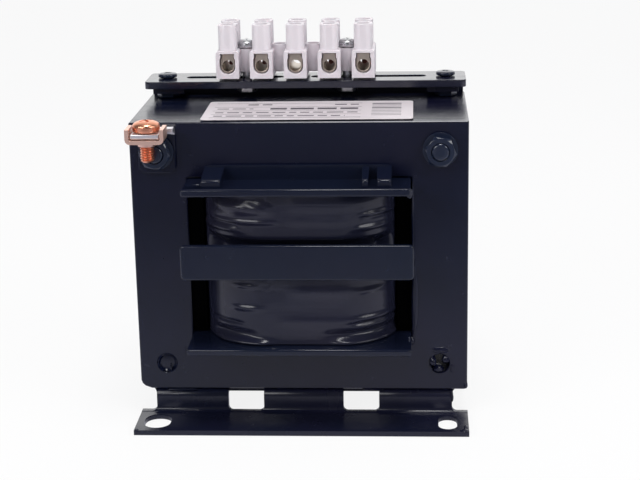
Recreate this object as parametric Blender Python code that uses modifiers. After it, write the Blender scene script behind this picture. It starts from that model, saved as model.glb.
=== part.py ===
"""Open frame mains transformer: a lacquered EI core on a folded base, a two-chamber coil, a carrier strip
with a five-pole terminal block on top, and an earth terminal at the upper left corner of the front.

Metres, +Z up. X runs along the front from left to right, Y from the front to the back.
The origin is under the middle of the core, on the plane that the feet stand on.
"""

import math

import bmesh
import bpy
from mathutils import Matrix, Vector

# Clearances
TOUCH = 0.0003  # between pieces that rest on or in each other
SLIDE = 0.0003  # between a moulded passage and the metal in it
STEP = 0.0001  # how far the faces of two joined shapes stand apart

# Core
MODULE = 0.016  # yoke and side leg width of an EI 96 lamination; its other sizes are multiples of it
STACK = 0.0445
CORE_TOP_CORNER = 0.0012
CORE_FOOT_CORNER_LEFT = 0.0028
CORE_FOOT_CORNER_RIGHT = 0.0009
CORE_HOLE = 0.0056

# Base bracket
BASE_SHEET = 0.0015
BASE_HEIGHT = 0.0083
BASE_BEND = 0.001
FOOT_PAST = 0.0002  # how far each end of a foot stands out beyond the core
NOTCH_DEPTH = 0.0046  # from a foot's end in to the leg above it
FOOT_REACH = 0.0152
FOOT_CORNER = 0.0008
NOTCH_FILLET = 0.0015
LEG_OPENING_WIDTH = 0.0105
LEG_OPENING_PITCH = 0.034
LEG_OPENING_CORNER = 0.0013
LEG_OPENING_PAST = 0.001  # beyond the leg, so that its cutter leaves it clean
SLOT_FROM_END = 0.006
SLOT_LENGTH = 0.0104
SLOT_WIDTH_LEFT = 0.0078
SLOT_WIDTH_RIGHT = 0.0054
SLOT_FROM_EDGE = 0.0072

# Coil former
TUBE_WALL = 0.0012
FLANGE = 0.0012
FLANGE_REACH = 0.0155
FLANGE_PLAY = 0.0003  # between a flange's side and the window
LIP_HEIGHT = 0.0022
LIP_DEPTH = 0.0014
LIP_RISE = 0.0006
CHAMBER_SHIFT = 0.001  # from the middle of the height down to the middle flange's own middle
APRON_HEIGHT = 0.0098
APRON_DROP = 0.0003
APRON_SHEET = 0.0014
APRON_OVERHANG = 0.0009
APRON_CORNER = 0.0012
MOULD_EDGE = 0.0007  # radius of the moulding's small corners
WALL_WIDTH = 0.053
WALL_HEIGHT = 0.0042
WALL_SHEET = 0.0013
WALL_CORNER = 0.0016
BOSS_DEPTH = 0.0128
BOSS_WIDTH = 0.0058
BOSS_FRONT_HEIGHT = 0.0026
BOSS_OUTER_WIDTH = 0.0042
BOSS_SLOT = 0.0021
PAD_WIDTH = 0.0042
PAD_DEPTH = 0.0085
PAD_HEIGHT = 0.0007
PAD_INSET = 0.0008  # from the flange's side
PAD_FROM_CORE = 0.003

# Coil
WINDING_BUILD_X = 0.012
WINDING_BUILD_Y = 0.0082
WINDING_CORNER = 0.0205
WRAP = 0.0009

# Bolts through the upper core holes
BOLT = 0.005
BOLT_END = 0.0004  # how far it stands out of its nut
BOLT_HEAD_FLATS = 0.008
BOLT_HEAD_HEIGHT = 0.0035
NUT_FLATS = 0.008
NUT_HEIGHT = 0.003
NUT_TURN = -9  # degrees that the front nuts stand turned from flat topped
WASHER = 0.01
WASHER_HEIGHT = 0.001

# Carrier bracket and strip
BRACKET_SHEET = 0.0015
BRACKET_BEND = 0.001
BRACKET_INSET = 0.0004  # from the core's side
BRACKET_DROP = 0.0148
BRACKET_EAR_WIDTH = 0.0128
BRACKET_BRIDGE = 0.0095
BRACKET_ARCH_CORNER = 0.003
LEDGE_WIDTH = 0.0094
LEDGE_REACH = 0.0125
LEDGE_PAST = 0.0038  # from the carrier screw's axis to the ledge's end
STRIP_SHEET = 0.0022
STRIP_PAST = 0.0001  # how far each end of the strip stands out beyond the core
STRIP_DEPTH = 0.0155
STRIP_CORNER = 0.0014
STRIP_HEIGHT = 0.006  # from the core's top to the strip's upper face
STRIP_SLOT = 0.0034
STRIP_SLOT_FROM_END = 0.0119
STRIP_WEB = 0.0084  # the strip between its two slots
CARRIER_SCREW_FROM_END = 0.006
CARRIER_SCREW = 0.0036
CARRIER_SCREW_HEAD = 0.0057
CARRIER_SCREW_HEAD_HEIGHT = 0.0012
CARRIER_SCREW_LENGTH = 0.0056
CARRIER_NUT_FLATS = 0.006
CARRIER_NUT_HEIGHT = 0.0014

# Terminal block
POLES = 5
POLE_PITCH = 0.01012
POLE_WIDTH = 0.0068
BLOCK_DEPTH = 0.0168
BLOCK_OFFSET = -0.0026
BLOCK_FOOT = 0.0006
BLOCK_FOOT_WIDTH = 0.0036
BLOCK_FOOT_DEPTH = 0.0056
POLE_BODY_HEIGHT = 0.0082
POLE_SHOULDER = 0.0007
TOWER_WIDTH = 0.0055
TOWER_DEPTH = 0.0062
TOWER_INSET = 0.001
TOWER_HEIGHT = 0.0158
TOWER_CORNER = 0.0019
SADDLE_HEIGHT = 0.0118
SADDLE_INSET = 0.0007  # from the towers' sides to the saddle's side
SCREW_SHAFT_HOLE = 0.0038
TUBE_OUTER = 0.0052
TUBE_BOTTOM = 0.0011
TUBE_TOP = 0.008
TUBE_RISE = 0.0013  # how far the tubes without a screw stand above the others
TUBE_HOLE = 0.0037

# Clamps in the block
CLAMP_WIDTH = 0.0041
CLAMP_NECK = 0.0036  # its width above the shoulders
CLAMP_NECK_HEIGHT = 0.0014
CLAMP_SHOULDER = 0.0003  # height of the slope between the two widths
CLAMP_HEIGHT = 0.0056
CLAMP_INSET = 0.0015  # from the block's face to the clamp's end
CLAMP_BORE = 0.0034
CLAMP_BORE_RISE = 0.0021
CLAMP_BOTTOM = 0.0016
CLAMP_CORNER = 0.0019
CLAMP_SCREW = 0.0024
CLAMP_SCREW_HEAD = 0.0031
CLAMP_SCREW_LENGTH = 0.0068
CLAMP_SCREW_SLOT = 0.0006
CLAMP_SCREW_SLOT_DEPTH = 0.0008
CLAMP_SCREW_REACH = {"front": 0.0004, "rear": 0.0012}  # how far it comes into the wire's bore

# Screws that hold the block
BLOCK_SCREW = 0.003
BLOCK_SCREW_HEAD = 0.0054
BLOCK_SCREW_HEAD_HEIGHT = 0.0024
BLOCK_NUT_FLATS = 0.0055
BLOCK_NUT_HEIGHT = 0.0018
BLOCK_SCREW_END = 0.0003

# Earth terminal
EARTH_SHEET = 0.0013
EARTH_WIDTH = 0.0107
EARTH_DROP = 0.0063  # from the bolt down to the plate's lower edge
EARTH_BEND = 0.0008
EARTH_TAB_RISE = 0.0073  # from the bolt up to the tab's upper face
EARTH_ROOT = 0.0048
EARTH_TONGUE_PAST = 0.004  # from the screw's axis to the tongue's end
EARTH_TONGUE_WIDTH = 0.008  # from the plate's left edge
EARTH_CORNER = 0.0015
EARTH_SCREW_PAST = 0.00045  # from the left bolt's tip to the earth screw
EARTH_SCREW = 0.004
EARTH_SCREW_LENGTH = 0.0088
EARTH_HEAD = 0.0077
EARTH_HEAD_HEIGHT = 0.003
STRAP_SHEET = 0.0011
STRAP_BEND = 0.0003
STRAP_DEPTH = 0.007
STRAP_OFFSET = 0.0011
STRAP_EAR = 0.0036
COLLAR = 0.0051
COLLAR_HEIGHT = 0.0012

# Lead wires
LEAD = 0.0016
LEAD_PLAY = 0.0008  # around a lead in the former's passages
LEAD_STEP = 0.0035
LEAD_UNDER = 0.004  # from the strip down to where the leads turn to their poles
LEAD_BEHIND = 0.0038  # from the block back to the leads' last bend
LEAD_PLACES = (-0.0125, -0.008, 0.008, 0.0125)  # two from the upper chamber, two from the lower one

# Label
LABEL_WIDTH = 0.0602
LABEL_DEPTH = 0.0265
LABEL_SHEET = 0.0002
LABEL_CORNER = 0.0012
LABEL_OFFSET = 0.0023
LABEL_FROM_EDGE = 0.0012

# Places that follow from the sizes
CORE_BOTTOM = BASE_HEIGHT + TOUCH
CORE_TOP = CORE_BOTTOM + 5 * MODULE
CORE_HALF = 3 * MODULE
FOOT_HALF = CORE_HALF + FOOT_PAST
BRACKET_HALF = CORE_HALF - BRACKET_INSET
STRIP_HALF = CORE_HALF + STRIP_PAST
CARRIER_SCREW_X = STRIP_HALF - CARRIER_SCREW_FROM_END
FRONT = -STACK / 2
BACK = STACK / 2
WINDOW_LOW = CORE_BOTTOM + MODULE
WINDOW_HIGH = CORE_BOTTOM + 4 * MODULE
HOLE_X = 2.5 * MODULE
HOLE_LOW = CORE_BOTTOM + MODULE / 2
HOLE_HIGH = CORE_TOP - MODULE / 2
TUBE_X = MODULE + TOUCH + TUBE_WALL
TUBE_Y = STACK / 2 + TOUCH + TUBE_WALL
FLANGE_X = 2 * MODULE - FLANGE_PLAY
FLANGE_Y = STACK / 2 + FLANGE_REACH
FORMER_LOW = WINDOW_LOW + TOUCH
FORMER_HIGH = WINDOW_HIGH - TOUCH
MIDDLE_LOW = (FORMER_LOW + FORMER_HIGH - FLANGE) / 2 - CHAMBER_SHIFT
MIDDLE_HIGH = MIDDLE_LOW + FLANGE
WRAP_X = TUBE_X + TOUCH + WINDING_BUILD_X + TOUCH + WRAP
WRAP_Y = TUBE_Y + TOUCH + WINDING_BUILD_Y + TOUCH + WRAP
WRAP_CORNER = WINDING_CORNER + TOUCH + WRAP
STRIP_TOP = CORE_TOP + STRIP_HEIGHT
STRIP_BOTTOM = STRIP_TOP - STRIP_SHEET
LEDGE_TOP = STRIP_BOTTOM - TOUCH
BRACKET_FRONT = BACK + TOUCH
STRIP_BACK = BRACKET_FRONT + BRACKET_SHEET
STRIP_Y = STRIP_BACK - STRIP_DEPTH / 2
BLOCK_BOTTOM = STRIP_TOP + TOUCH + BLOCK_FOOT
CLAMP_LOW = BLOCK_BOTTOM + CLAMP_BOTTOM
CLAMP_AXIS = CLAMP_LOW + CLAMP_BORE_RISE
CLAMP_LENGTH = BLOCK_DEPTH - 2 * CLAMP_INSET
TOWER_Y = BLOCK_DEPTH / 2 - TOWER_INSET - TOWER_DEPTH / 2
LEAD_Y = WRAP_Y + TOUCH + LEAD / 2
EARTH_BACK = FRONT - TOUCH
EARTH_FRONT = EARTH_BACK - EARTH_SHEET
EARTH_TOP = HOLE_HIGH + EARTH_TAB_RISE
NUT_SEAT_LEFT = EARTH_FRONT - TOUCH
NUT_SEAT_RIGHT = FRONT - TOUCH
LEFT_TIP = NUT_SEAT_LEFT - WASHER_HEIGHT - TOUCH - NUT_HEIGHT - BOLT_END
EARTH_SCREW_X = -HOLE_X - (EARTH_WIDTH - EARTH_TONGUE_WIDTH) / 2
EARTH_SCREW_Y = LEFT_TIP - EARTH_SCREW_PAST - EARTH_SCREW / 2
TONGUE_END = EARTH_SCREW_Y - EARTH_TONGUE_PAST


def clear_scene():
    for thing in list(bpy.data.objects):
        bpy.data.objects.remove(thing, do_unlink=True)


def new_collection(name):
    collection = bpy.data.collections.new(name)
    bpy.context.scene.collection.children.link(collection)
    return collection


def new_material(name, colour, roughness, metallic=0.0):
    material = bpy.data.materials.new(name)
    material.use_nodes = True
    shader = material.node_tree.nodes["Principled BSDF"]
    shader.inputs["Base Color"].default_value = (*colour, 1)
    shader.inputs["Roughness"].default_value = roughness
    shader.inputs["Metallic"].default_value = metallic
    material.diffuse_color = (*colour, 1)
    return material


def dress(thing, finish):
    thing.data.materials.clear()
    thing.data.materials.append(new_material(thing.name + "_finish", *FINISHES[finish]))


FINISHES = {
    "lacquered core": ((0.012, 0.014, 0.028), 0.25),
    "lacquered sheet": ((0.014, 0.016, 0.03), 0.22),
    "lacquered moulding": ((0.012, 0.015, 0.026), 0.3),
    "lacquered fastener": ((0.016, 0.02, 0.034), 0.3, 0.3),
    "black tape": ((0.01, 0.01, 0.014), 0.2),
    "enamelled copper": ((0.45, 0.16, 0.05), 0.35, 0.8),
    "white moulding": ((0.85, 0.82, 0.84), 0.4),
    "brass": ((0.5, 0.42, 0.3), 0.4, 1.0),
    "zinc": ((0.6, 0.61, 0.62), 0.3, 1.0),
    "copper": ((0.8, 0.36, 0.2), 0.3, 1.0),
    "lead sleeve": ((0.7, 0.35, 0.3), 0.5),
    "paper": ((0.8, 0.76, 0.78), 0.5),
}


def rounded(corners, radii, steps=4):
    """A closed outline whose corners are arcs. A radius of 0 leaves a corner sharp."""
    outline = []
    count = len(corners)
    for i, corner in enumerate(corners):
        here = Vector(corner)
        radius = radii[i % len(radii)]
        if radius <= 0:
            outline.append(tuple(here))
            continue
        before = (Vector(corners[i - 1]) - here).normalized()
        after = (Vector(corners[(i + 1) % count]) - here).normalized()
        half = before.angle(after) / 2
        reach = radius / math.tan(half)
        centre = here + (before + after).normalized() * (radius / math.sin(half))
        start = here + before * reach - centre
        end = here + after * reach - centre
        turn = math.copysign(math.pi - 2 * half, start.x * end.y - start.y * end.x)
        for step in range(steps + 1):
            outline.append(tuple(centre + Matrix.Rotation(turn * step / steps, 2) @ start))
    return outline


def rectangle(x0, y0, x1, y1, radius=0.0, steps=4):
    return rounded([(x0, y0), (x1, y0), (x1, y1), (x0, y1)], [radius], steps)


def circle(x, y, diameter, sides=20):
    turns = [2 * math.pi * i / sides for i in range(sides)]
    return [(x + diameter / 2 * math.cos(t), y + diameter / 2 * math.sin(t)) for t in turns]


def hexagon(x, y, flats, turn=0.0):
    reach = flats / math.sqrt(3)
    turns = [turn + math.pi / 3 * i for i in range(6)]
    return [(x + reach * math.cos(t), y + reach * math.sin(t)) for t in turns]


def stadium(x, y, length_x, length_y, steps=6):
    """A slot with round ends along its longer side."""
    radius = min(length_x, length_y) / 2 * 0.999
    return rectangle(x - length_x / 2, y - length_y / 2, x + length_x / 2, y + length_y / 2, radius, steps)


PLANES = {
    "XY": Matrix.Identity(4),
    "XZ": Matrix(((1, 0, 0, 0), (0, 0, -1, 0), (0, 1, 0, 0), (0, 0, 0, 1))),
    "YZ": Matrix(((0, 0, 1, 0), (1, 0, 0, 0), (0, 1, 0, 0), (0, 0, 0, 1))),
}
ACROSS = {"XY": (0, 0, 1), "XZ": (0, 1, 0), "YZ": (1, 0, 0)}


def mesh_of_curve(curve_object):
    """The curve as a mesh object of the same name, with its loose caps joined to its sides."""
    bpy.context.view_layer.update()
    graph = bpy.context.evaluated_depsgraph_get()
    mesh = bpy.data.meshes.new_from_object(curve_object.evaluated_get(graph))
    shape = bmesh.new()
    shape.from_mesh(mesh)
    bmesh.ops.remove_doubles(shape, verts=shape.verts, dist=0.000001)
    bmesh.ops.recalc_face_normals(shape, faces=shape.faces)
    shape.to_mesh(mesh)
    shape.free()
    name = curve_object.name
    placed = curve_object.matrix_world.copy()
    home = curve_object.users_collection[0]
    bpy.data.objects.remove(curve_object, do_unlink=True)
    thing = bpy.data.objects.new(name, mesh)
    home.objects.link(thing)
    thing.matrix_world = placed
    return thing


def plate(name, plane, low, high, outline, holes=(), home=None):
    """A flat outline in a plane, with its holes, given its thickness from low to high across that plane."""
    curve = bpy.data.curves.new(name, "CURVE")
    curve.dimensions = "2D"
    curve.fill_mode = "BOTH"
    curve.extrude = (high - low) / 2
    for loop in (outline, *holes):
        spline = curve.splines.new("POLY")
        spline.points.add(len(loop) - 1)
        for point, place in zip(spline.points, loop):
            point.co = (place[0], place[1], 0, 1)
        spline.use_cyclic_u = True
    thing = bpy.data.objects.new(name, curve)
    (home or PARTS).objects.link(thing)
    thing.matrix_world = Matrix.Translation(Vector(ACROSS[plane]) * (low + high) / 2) @ PLANES[plane]
    thing = mesh_of_curve(thing)
    thing.data.transform(thing.matrix_world)
    thing.matrix_world = Matrix.Identity(4)
    return thing


def box(name, low, high, home=None):
    """A box from its lowest to its highest corner."""
    mesh = bpy.data.meshes.new(name)
    shape = bmesh.new()
    bmesh.ops.create_cube(shape, size=1)
    size = [b - a for a, b in zip(low, high)]
    bmesh.ops.scale(shape, verts=shape.verts, vec=size)
    bmesh.ops.translate(shape, verts=shape.verts, vec=[(a + b) / 2 for a, b in zip(low, high)])
    shape.to_mesh(mesh)
    shape.free()
    thing = bpy.data.objects.new(name, mesh)
    (home or PARTS).objects.link(thing)
    return thing


def combine(thing, other, operation):
    modifier = thing.modifiers.new(operation.lower() + "_" + other.name, "BOOLEAN")
    modifier.operation = operation
    modifier.solver = "EXACT"
    modifier.object = other
    other.hide_render = True
    other.display_type = "WIRE"


def cut(thing, *others):
    for other in others:
        combine(thing, other, "DIFFERENCE")


def join(thing, *others):
    for other in others:
        combine(thing, other, "UNION")


def turned(name, profile, place, axis="Z", sides=20, home=None):
    """A turned solid: the profile runs from the top of the axis down its outer side to the bottom."""
    mesh = bpy.data.meshes.new(name)
    shape = bmesh.new()
    points = [shape.verts.new((radius, 0, height)) for radius, height in profile]
    for a, b in zip(points, points[1:]):
        shape.edges.new((a, b))
    shape.to_mesh(mesh)
    shape.free()
    thing = bpy.data.objects.new(name, mesh)
    (home or PARTS).objects.link(thing)
    screw = thing.modifiers.new("turn", "SCREW")
    screw.steps = screw.render_steps = sides
    screw.use_merge_vertices = True
    screw.merge_threshold = 0.00001
    turn = {"Z": Matrix.Identity(4), "-Y": Matrix.Rotation(math.pi / 2, 4, "X")}[axis]
    thing.matrix_world = Matrix.Translation(Vector(place)) @ turn
    return thing


def folded(path, sheet, inside_radius, steps=4):
    """The section of a folded sheet: its middle line with round bends, offset to both sides."""
    line = [Vector(path[0])]
    for before, here, after in zip(path, path[1:], path[2:]):
        here = Vector(here)
        back = (Vector(before) - here).normalized()
        on = (Vector(after) - here).normalized()
        half = back.angle(on) / 2
        radius = inside_radius + sheet / 2
        centre = here + (back + on).normalized() * (radius / math.sin(half))
        start = here + back * radius / math.tan(half) - centre
        end = here + on * radius / math.tan(half) - centre
        turn = math.copysign(math.pi - 2 * half, start.x * end.y - start.y * end.x)
        for step in range(steps + 1):
            line.append(centre + Matrix.Rotation(turn * step / steps, 2) @ start)
    line.append(Vector(path[-1]))
    sides = ([], [])
    for i, here in enumerate(line):
        ways = []
        if i > 0:
            ways.append((here - line[i - 1]).normalized())
        if i < len(line) - 1:
            ways.append((line[i + 1] - here).normalized())
        way = sum(ways, Vector((0, 0))).normalized()
        reach = sheet / 2 / max(way.dot(ways[0]), 0.5)
        across = Vector((-way.y, way.x)) * reach
        sides[0].append(tuple(here + across))
        sides[1].append(tuple(here - across))
    return sides[0] + sides[1][::-1]


def mirrored_y(outline):
    return [(-y, z) for y, z in reversed(outline)]


def make_core():
    """The E pack hangs with its legs down on the I pack, and the two are welded along their joint."""
    low = WINDOW_LOW + TOUCH
    outline = rounded(
        [
            (-3 * MODULE, low), (-2 * MODULE, low), (-2 * MODULE, WINDOW_HIGH), (-MODULE, WINDOW_HIGH),
            (-MODULE, low), (MODULE, low), (MODULE, WINDOW_HIGH), (2 * MODULE, WINDOW_HIGH),
            (2 * MODULE, low), (3 * MODULE, low), (3 * MODULE, CORE_TOP), (-3 * MODULE, CORE_TOP),
        ],
        [0] * 10 + [CORE_TOP_CORNER] * 2,
    )
    holes = [circle(side * HOLE_X, HOLE_HIGH, CORE_HOLE) for side in (-1, 1)]
    dress(plate("core_e_laminations", "XZ", FRONT, BACK, outline, holes), "lacquered core")
    outline = rounded(
        [(-CORE_HALF, CORE_BOTTOM), (CORE_HALF, CORE_BOTTOM), (CORE_HALF, WINDOW_LOW), (-CORE_HALF, WINDOW_LOW)],
        [CORE_FOOT_CORNER_LEFT, CORE_FOOT_CORNER_RIGHT, 0, 0],
    )
    holes = [circle(side * HOLE_X, HOLE_LOW, CORE_HOLE) for side in (-1, 1)]
    dress(plate("core_i_laminations", "XZ", FRONT, BACK, outline, holes), "lacquered core")


def make_base():
    """One sheet folded to a hat: a bed under the core, a leg at each side and a foot outwards from each leg."""
    half = BASE_SHEET / 2
    leg_y = STACK / 2 - half
    foot_y = STACK / 2 + FOOT_REACH
    bed_z = BASE_HEIGHT - half
    path = [(-foot_y, half), (-leg_y, half), (-leg_y, bed_z), (leg_y, bed_z), (leg_y, half), (foot_y, half)]
    section = folded(path, BASE_SHEET, BASE_BEND)
    base = plate("base_bracket", "YZ", -FOOT_HALF, FOOT_HALF, section)
    foot_top = BASE_SHEET + STEP
    for side in (-1, 1):
        cut(base, plate(
            f"notch_{side}", "XZ", -foot_y * 2, foot_y * 2, notch_outline(side, foot_top), home=CUTTERS,
        ))
        middle = side * LEG_OPENING_PITCH / 2
        opening = rectangle(
            middle - LEG_OPENING_WIDTH / 2, foot_top, middle + LEG_OPENING_WIDTH / 2,
            BASE_HEIGHT + 2 * LEG_OPENING_CORNER, LEG_OPENING_CORNER,
        )
        inner = STACK / 2 - BASE_SHEET - BASE_BEND - TOUCH
        for end in (-1, 1):
            low, high = sorted((end * inner, end * (STACK / 2 + LEG_OPENING_PAST)))
            cut(base, plate(f"leg_opening_{side}_{end}", "XZ", low, high, opening, home=CUTTERS))
            slot_x = side * (FOOT_HALF - SLOT_FROM_END)
            slot_y = end * (foot_y - SLOT_FROM_EDGE)
            width = SLOT_WIDTH_LEFT if side < 0 else SLOT_WIDTH_RIGHT
            slot = stadium(slot_x, slot_y, width, SLOT_LENGTH)
            cut(base, plate(f"foot_slot_{side}_{end}", "XY", -BASE_SHEET, 2 * BASE_SHEET, slot, home=CUTTERS))
    dress(base, "lacquered sheet")


def notch_outline(side, foot_top):
    """Beside a leg: filleted into the foot below, and above into the bed, which it cuts off at its flare."""
    waist = side * (FOOT_HALF - NOTCH_DEPTH)
    outside = side * (FOOT_HALF + NOTCH_FILLET)
    lower = rounded([(outside, foot_top), (waist, foot_top), (waist, BASE_HEIGHT)], [0, NOTCH_FILLET, 0])[:-1]
    upper = []
    for i in range(5):
        turn = math.acos(0.4) * i / 4
        upper.append((
            waist + side * NOTCH_FILLET * (1 - math.cos(turn)),
            BASE_HEIGHT - NOTCH_FILLET * (1 - math.sin(turn)),
        ))
    above = BASE_HEIGHT + NOTCH_FILLET
    return lower + upper + [(upper[-1][0], above), (outside, above)]


def former_flange(name, low, high, reach_x, home):
    """A flange around the tube. Its hole lies inside the tube's wall, so that the two join."""
    inside = TUBE_WALL / 2
    hole = rectangle(-TUBE_X + inside, -TUBE_Y + inside, TUBE_X - inside, TUBE_Y - inside)
    reach_y = FLANGE_Y - STEP
    outline = rectangle(-reach_x, -reach_y, reach_x, reach_y, MOULD_EDGE, 2)
    return plate(name, "XY", low, high, outline, [hole], home=home)


def make_former():
    """The moulded former: a square tube around the middle leg, three flanges, and what stands on them."""
    ring = rectangle(-TUBE_X, -TUBE_Y, TUBE_X, TUBE_Y)
    bore = rectangle(-TUBE_X + TUBE_WALL, -TUBE_Y + TUBE_WALL, TUBE_X - TUBE_WALL, TUBE_Y - TUBE_WALL)
    former = plate("coil_former", "XY", FORMER_LOW + STEP, FORMER_HIGH - STEP, ring, [bore])
    join(
        former,
        former_flange("flange_low", FORMER_LOW, FORMER_LOW + FLANGE, FLANGE_X, CUTTERS),
        former_flange("flange_middle", MIDDLE_LOW, MIDDLE_HIGH, FLANGE_X, CUTTERS),
        former_flange("flange_high", FORMER_HIGH - FLANGE, FORMER_HIGH, FLANGE_X, CUTTERS),
    )
    for end in (-1, 1):
        edge = end * FLANGE_Y
        low, high = sorted((edge, edge - end * LIP_DEPTH))
        top = FORMER_HIGH + LIP_RISE
        bottom = FORMER_LOW - LIP_RISE
        lip_x = FLANGE_X + STEP
        lip_top = rectangle(-lip_x, top - LIP_HEIGHT, lip_x, top, MOULD_EDGE, 2)
        lip_bottom = rectangle(-lip_x, bottom, lip_x, bottom + LIP_HEIGHT * 0.9, MOULD_EDGE, 2)
        apron_x = FLANGE_X + APRON_OVERHANG
        apron = rectangle(-apron_x, MIDDLE_LOW - APRON_DROP, apron_x, MIDDLE_LOW + APRON_HEIGHT, APRON_CORNER, 3)
        apron_low, apron_high = sorted((edge, edge - end * APRON_SHEET))
        join(
            former,
            plate(f"lip_top_{end}", "XZ", low, high, lip_top, home=CUTTERS),
            plate(f"lip_bottom_{end}", "XZ", low, high, lip_bottom, home=CUTTERS),
            plate(f"apron_{end}", "XZ", apron_low, apron_high, apron, home=CUTTERS),
        )
        add_wall_and_bosses(former, end)
    for i, x in enumerate(LEAD_PLACES):
        lowest = WINDOW_LOW + MODULE if i >= 2 else MIDDLE_HIGH + MODULE / 2
        half = LEAD / 2 + LEAD_PLAY
        cut(former, box(
            f"lead_passage_{i}", (x - half, LEAD_Y - LEAD / 2 - TOUCH / 2, lowest),
            (x + half, LEAD_Y + LEAD / 2 + LEAD_PLAY / 2, FORMER_HIGH + WALL_HEIGHT * 2), CUTTERS,
        ))
    dress(former, "lacquered moulding")


def add_wall_and_bosses(former, end):
    """A low wall stands on the upper flange against the yoke, with a block for the leads at each end of it."""
    face = end * (STACK / 2 + TOUCH)
    foot = FORMER_HIGH - FLANGE / 2
    top = FORMER_HIGH + WALL_HEIGHT
    half = WALL_WIDTH / 2
    low, high = sorted((face + end * STEP, face + end * WALL_SHEET))
    wall = rounded([(-half, foot), (half, foot), (half, top), (-half, top)], [0, 0, WALL_CORNER, WALL_CORNER])
    join(former, plate(f"wall_{end}", "XZ", low, high, wall, home=CUTTERS))
    front = face + end * BOSS_DEPTH
    section = [(face + end * TOUCH, foot), (front, foot), (front, FORMER_HIGH + BOSS_FRONT_HEIGHT),
               (face + end * TOUCH, top - TOUCH)]
    section = rounded(section, [0, 0, MOULD_EDGE, 0])
    places = (
        ("left", -half, -half + BOSS_WIDTH),
        ("inner", half - BOSS_OUTER_WIDTH - BOSS_SLOT - BOSS_SLOT, half - BOSS_OUTER_WIDTH - BOSS_SLOT),
        ("outer", half - BOSS_OUTER_WIDTH, half),
    )
    for name, left, right in places:
        join(former, plate(f"boss_{name}_{end}", "YZ", left + STEP, right - STEP, section, home=CUTTERS))
    pad_y = sorted((face + end * PAD_FROM_CORE, face + end * (PAD_FROM_CORE + PAD_DEPTH)))
    pad_left = -FLANGE_X + PAD_INSET
    join(former, box(
        f"pad_{end}", (pad_left, pad_y[0], foot), (pad_left + PAD_WIDTH, pad_y[1], FORMER_HIGH + PAD_HEIGHT), CUTTERS,
    ))


def coil_ring(name, low, high, outer, inner, finish):
    """A ring around the former's tube: outer and inner give half width, half depth and corner radius."""
    loops = [rectangle(-x, -y, x, y, corner, 6) for x, y, corner in (outer, inner)]
    dress(plate(name, "XY", low, high, loops[0], [loops[1]]), finish)


def make_coils():
    """A winding in each chamber, and the tape wrapped around it."""
    wrap = (WRAP_X, WRAP_Y, WRAP_CORNER)
    wrap_inside = (WRAP_X - WRAP, WRAP_Y - WRAP, WRAP_CORNER - WRAP)
    winding = (wrap_inside[0] - TOUCH, wrap_inside[1] - TOUCH, wrap_inside[2] - TOUCH)
    bore = (TUBE_X + TOUCH, TUBE_Y + TOUCH, 0)
    chambers = (
        ("primary", MIDDLE_HIGH + TOUCH, FORMER_HIGH - FLANGE - TOUCH),
        ("secondary", FORMER_LOW + FLANGE + TOUCH, MIDDLE_LOW - TOUCH),
    )
    for name, low, high in chambers:
        coil_ring(f"{name}_winding", low, high, winding, bore, "enamelled copper")
        coil_ring(f"{name}_wrap", low, high, wrap, wrap_inside, "black tape")


def nut(name, plane, low, high, x, y, flats, thread, turn=0.0):
    bore = circle(x, y, thread + 2 * TOUCH, 16)
    return plate(name, plane, low, high, hexagon(x, y, flats, turn), [bore])


def make_core_bolts():
    """Each bolt comes from the back through bracket and core, and its nut is on the front."""
    for side, name in ((-1, "left"), (1, "right")):
        x = side * HOLE_X
        seat = NUT_SEAT_LEFT if side < 0 else NUT_SEAT_RIGHT
        back = BRACKET_FRONT + BRACKET_SHEET + TOUCH
        washers = (
            (f"front_washer_{name}", seat - WASHER_HEIGHT, seat),
            (f"rear_washer_{name}", back, back + WASHER_HEIGHT),
        )
        for washer, low, high in washers:
            ring = circle(x, HOLE_HIGH, WASHER, 24)
            hole = circle(x, HOLE_HIGH, BOLT + 2 * TOUCH, 16)
            dress(plate(washer, "XZ", low, high, ring, [hole]), "lacquered fastener")
        nut_back = seat - WASHER_HEIGHT - TOUCH
        dress(nut(
            f"core_nut_{name}", "XZ", nut_back - NUT_HEIGHT, nut_back, x, HOLE_HIGH, NUT_FLATS, BOLT,
            math.radians(NUT_TURN),
        ), "lacquered fastener")
        head = back + WASHER_HEIGHT + TOUCH
        tip = nut_back - NUT_HEIGHT - BOLT_END
        bolt = plate(
            f"core_bolt_{name}", "XZ", head, head + BOLT_HEAD_HEIGHT, hexagon(x, HOLE_HIGH, BOLT_HEAD_FLATS),
        )
        radius = BOLT / 2
        shank = turned(
            f"shank_{name}",
            [(0, 0), (radius - 0.0007, 0), (radius, -0.0007), (radius, tip - head - TOUCH), (0, tip - head - TOUCH)],
            (x, tip, HOLE_HIGH), "-Y", 16, CUTTERS,
        )
        join(bolt, shank)
        dress(bolt, "lacquered fastener")


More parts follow.
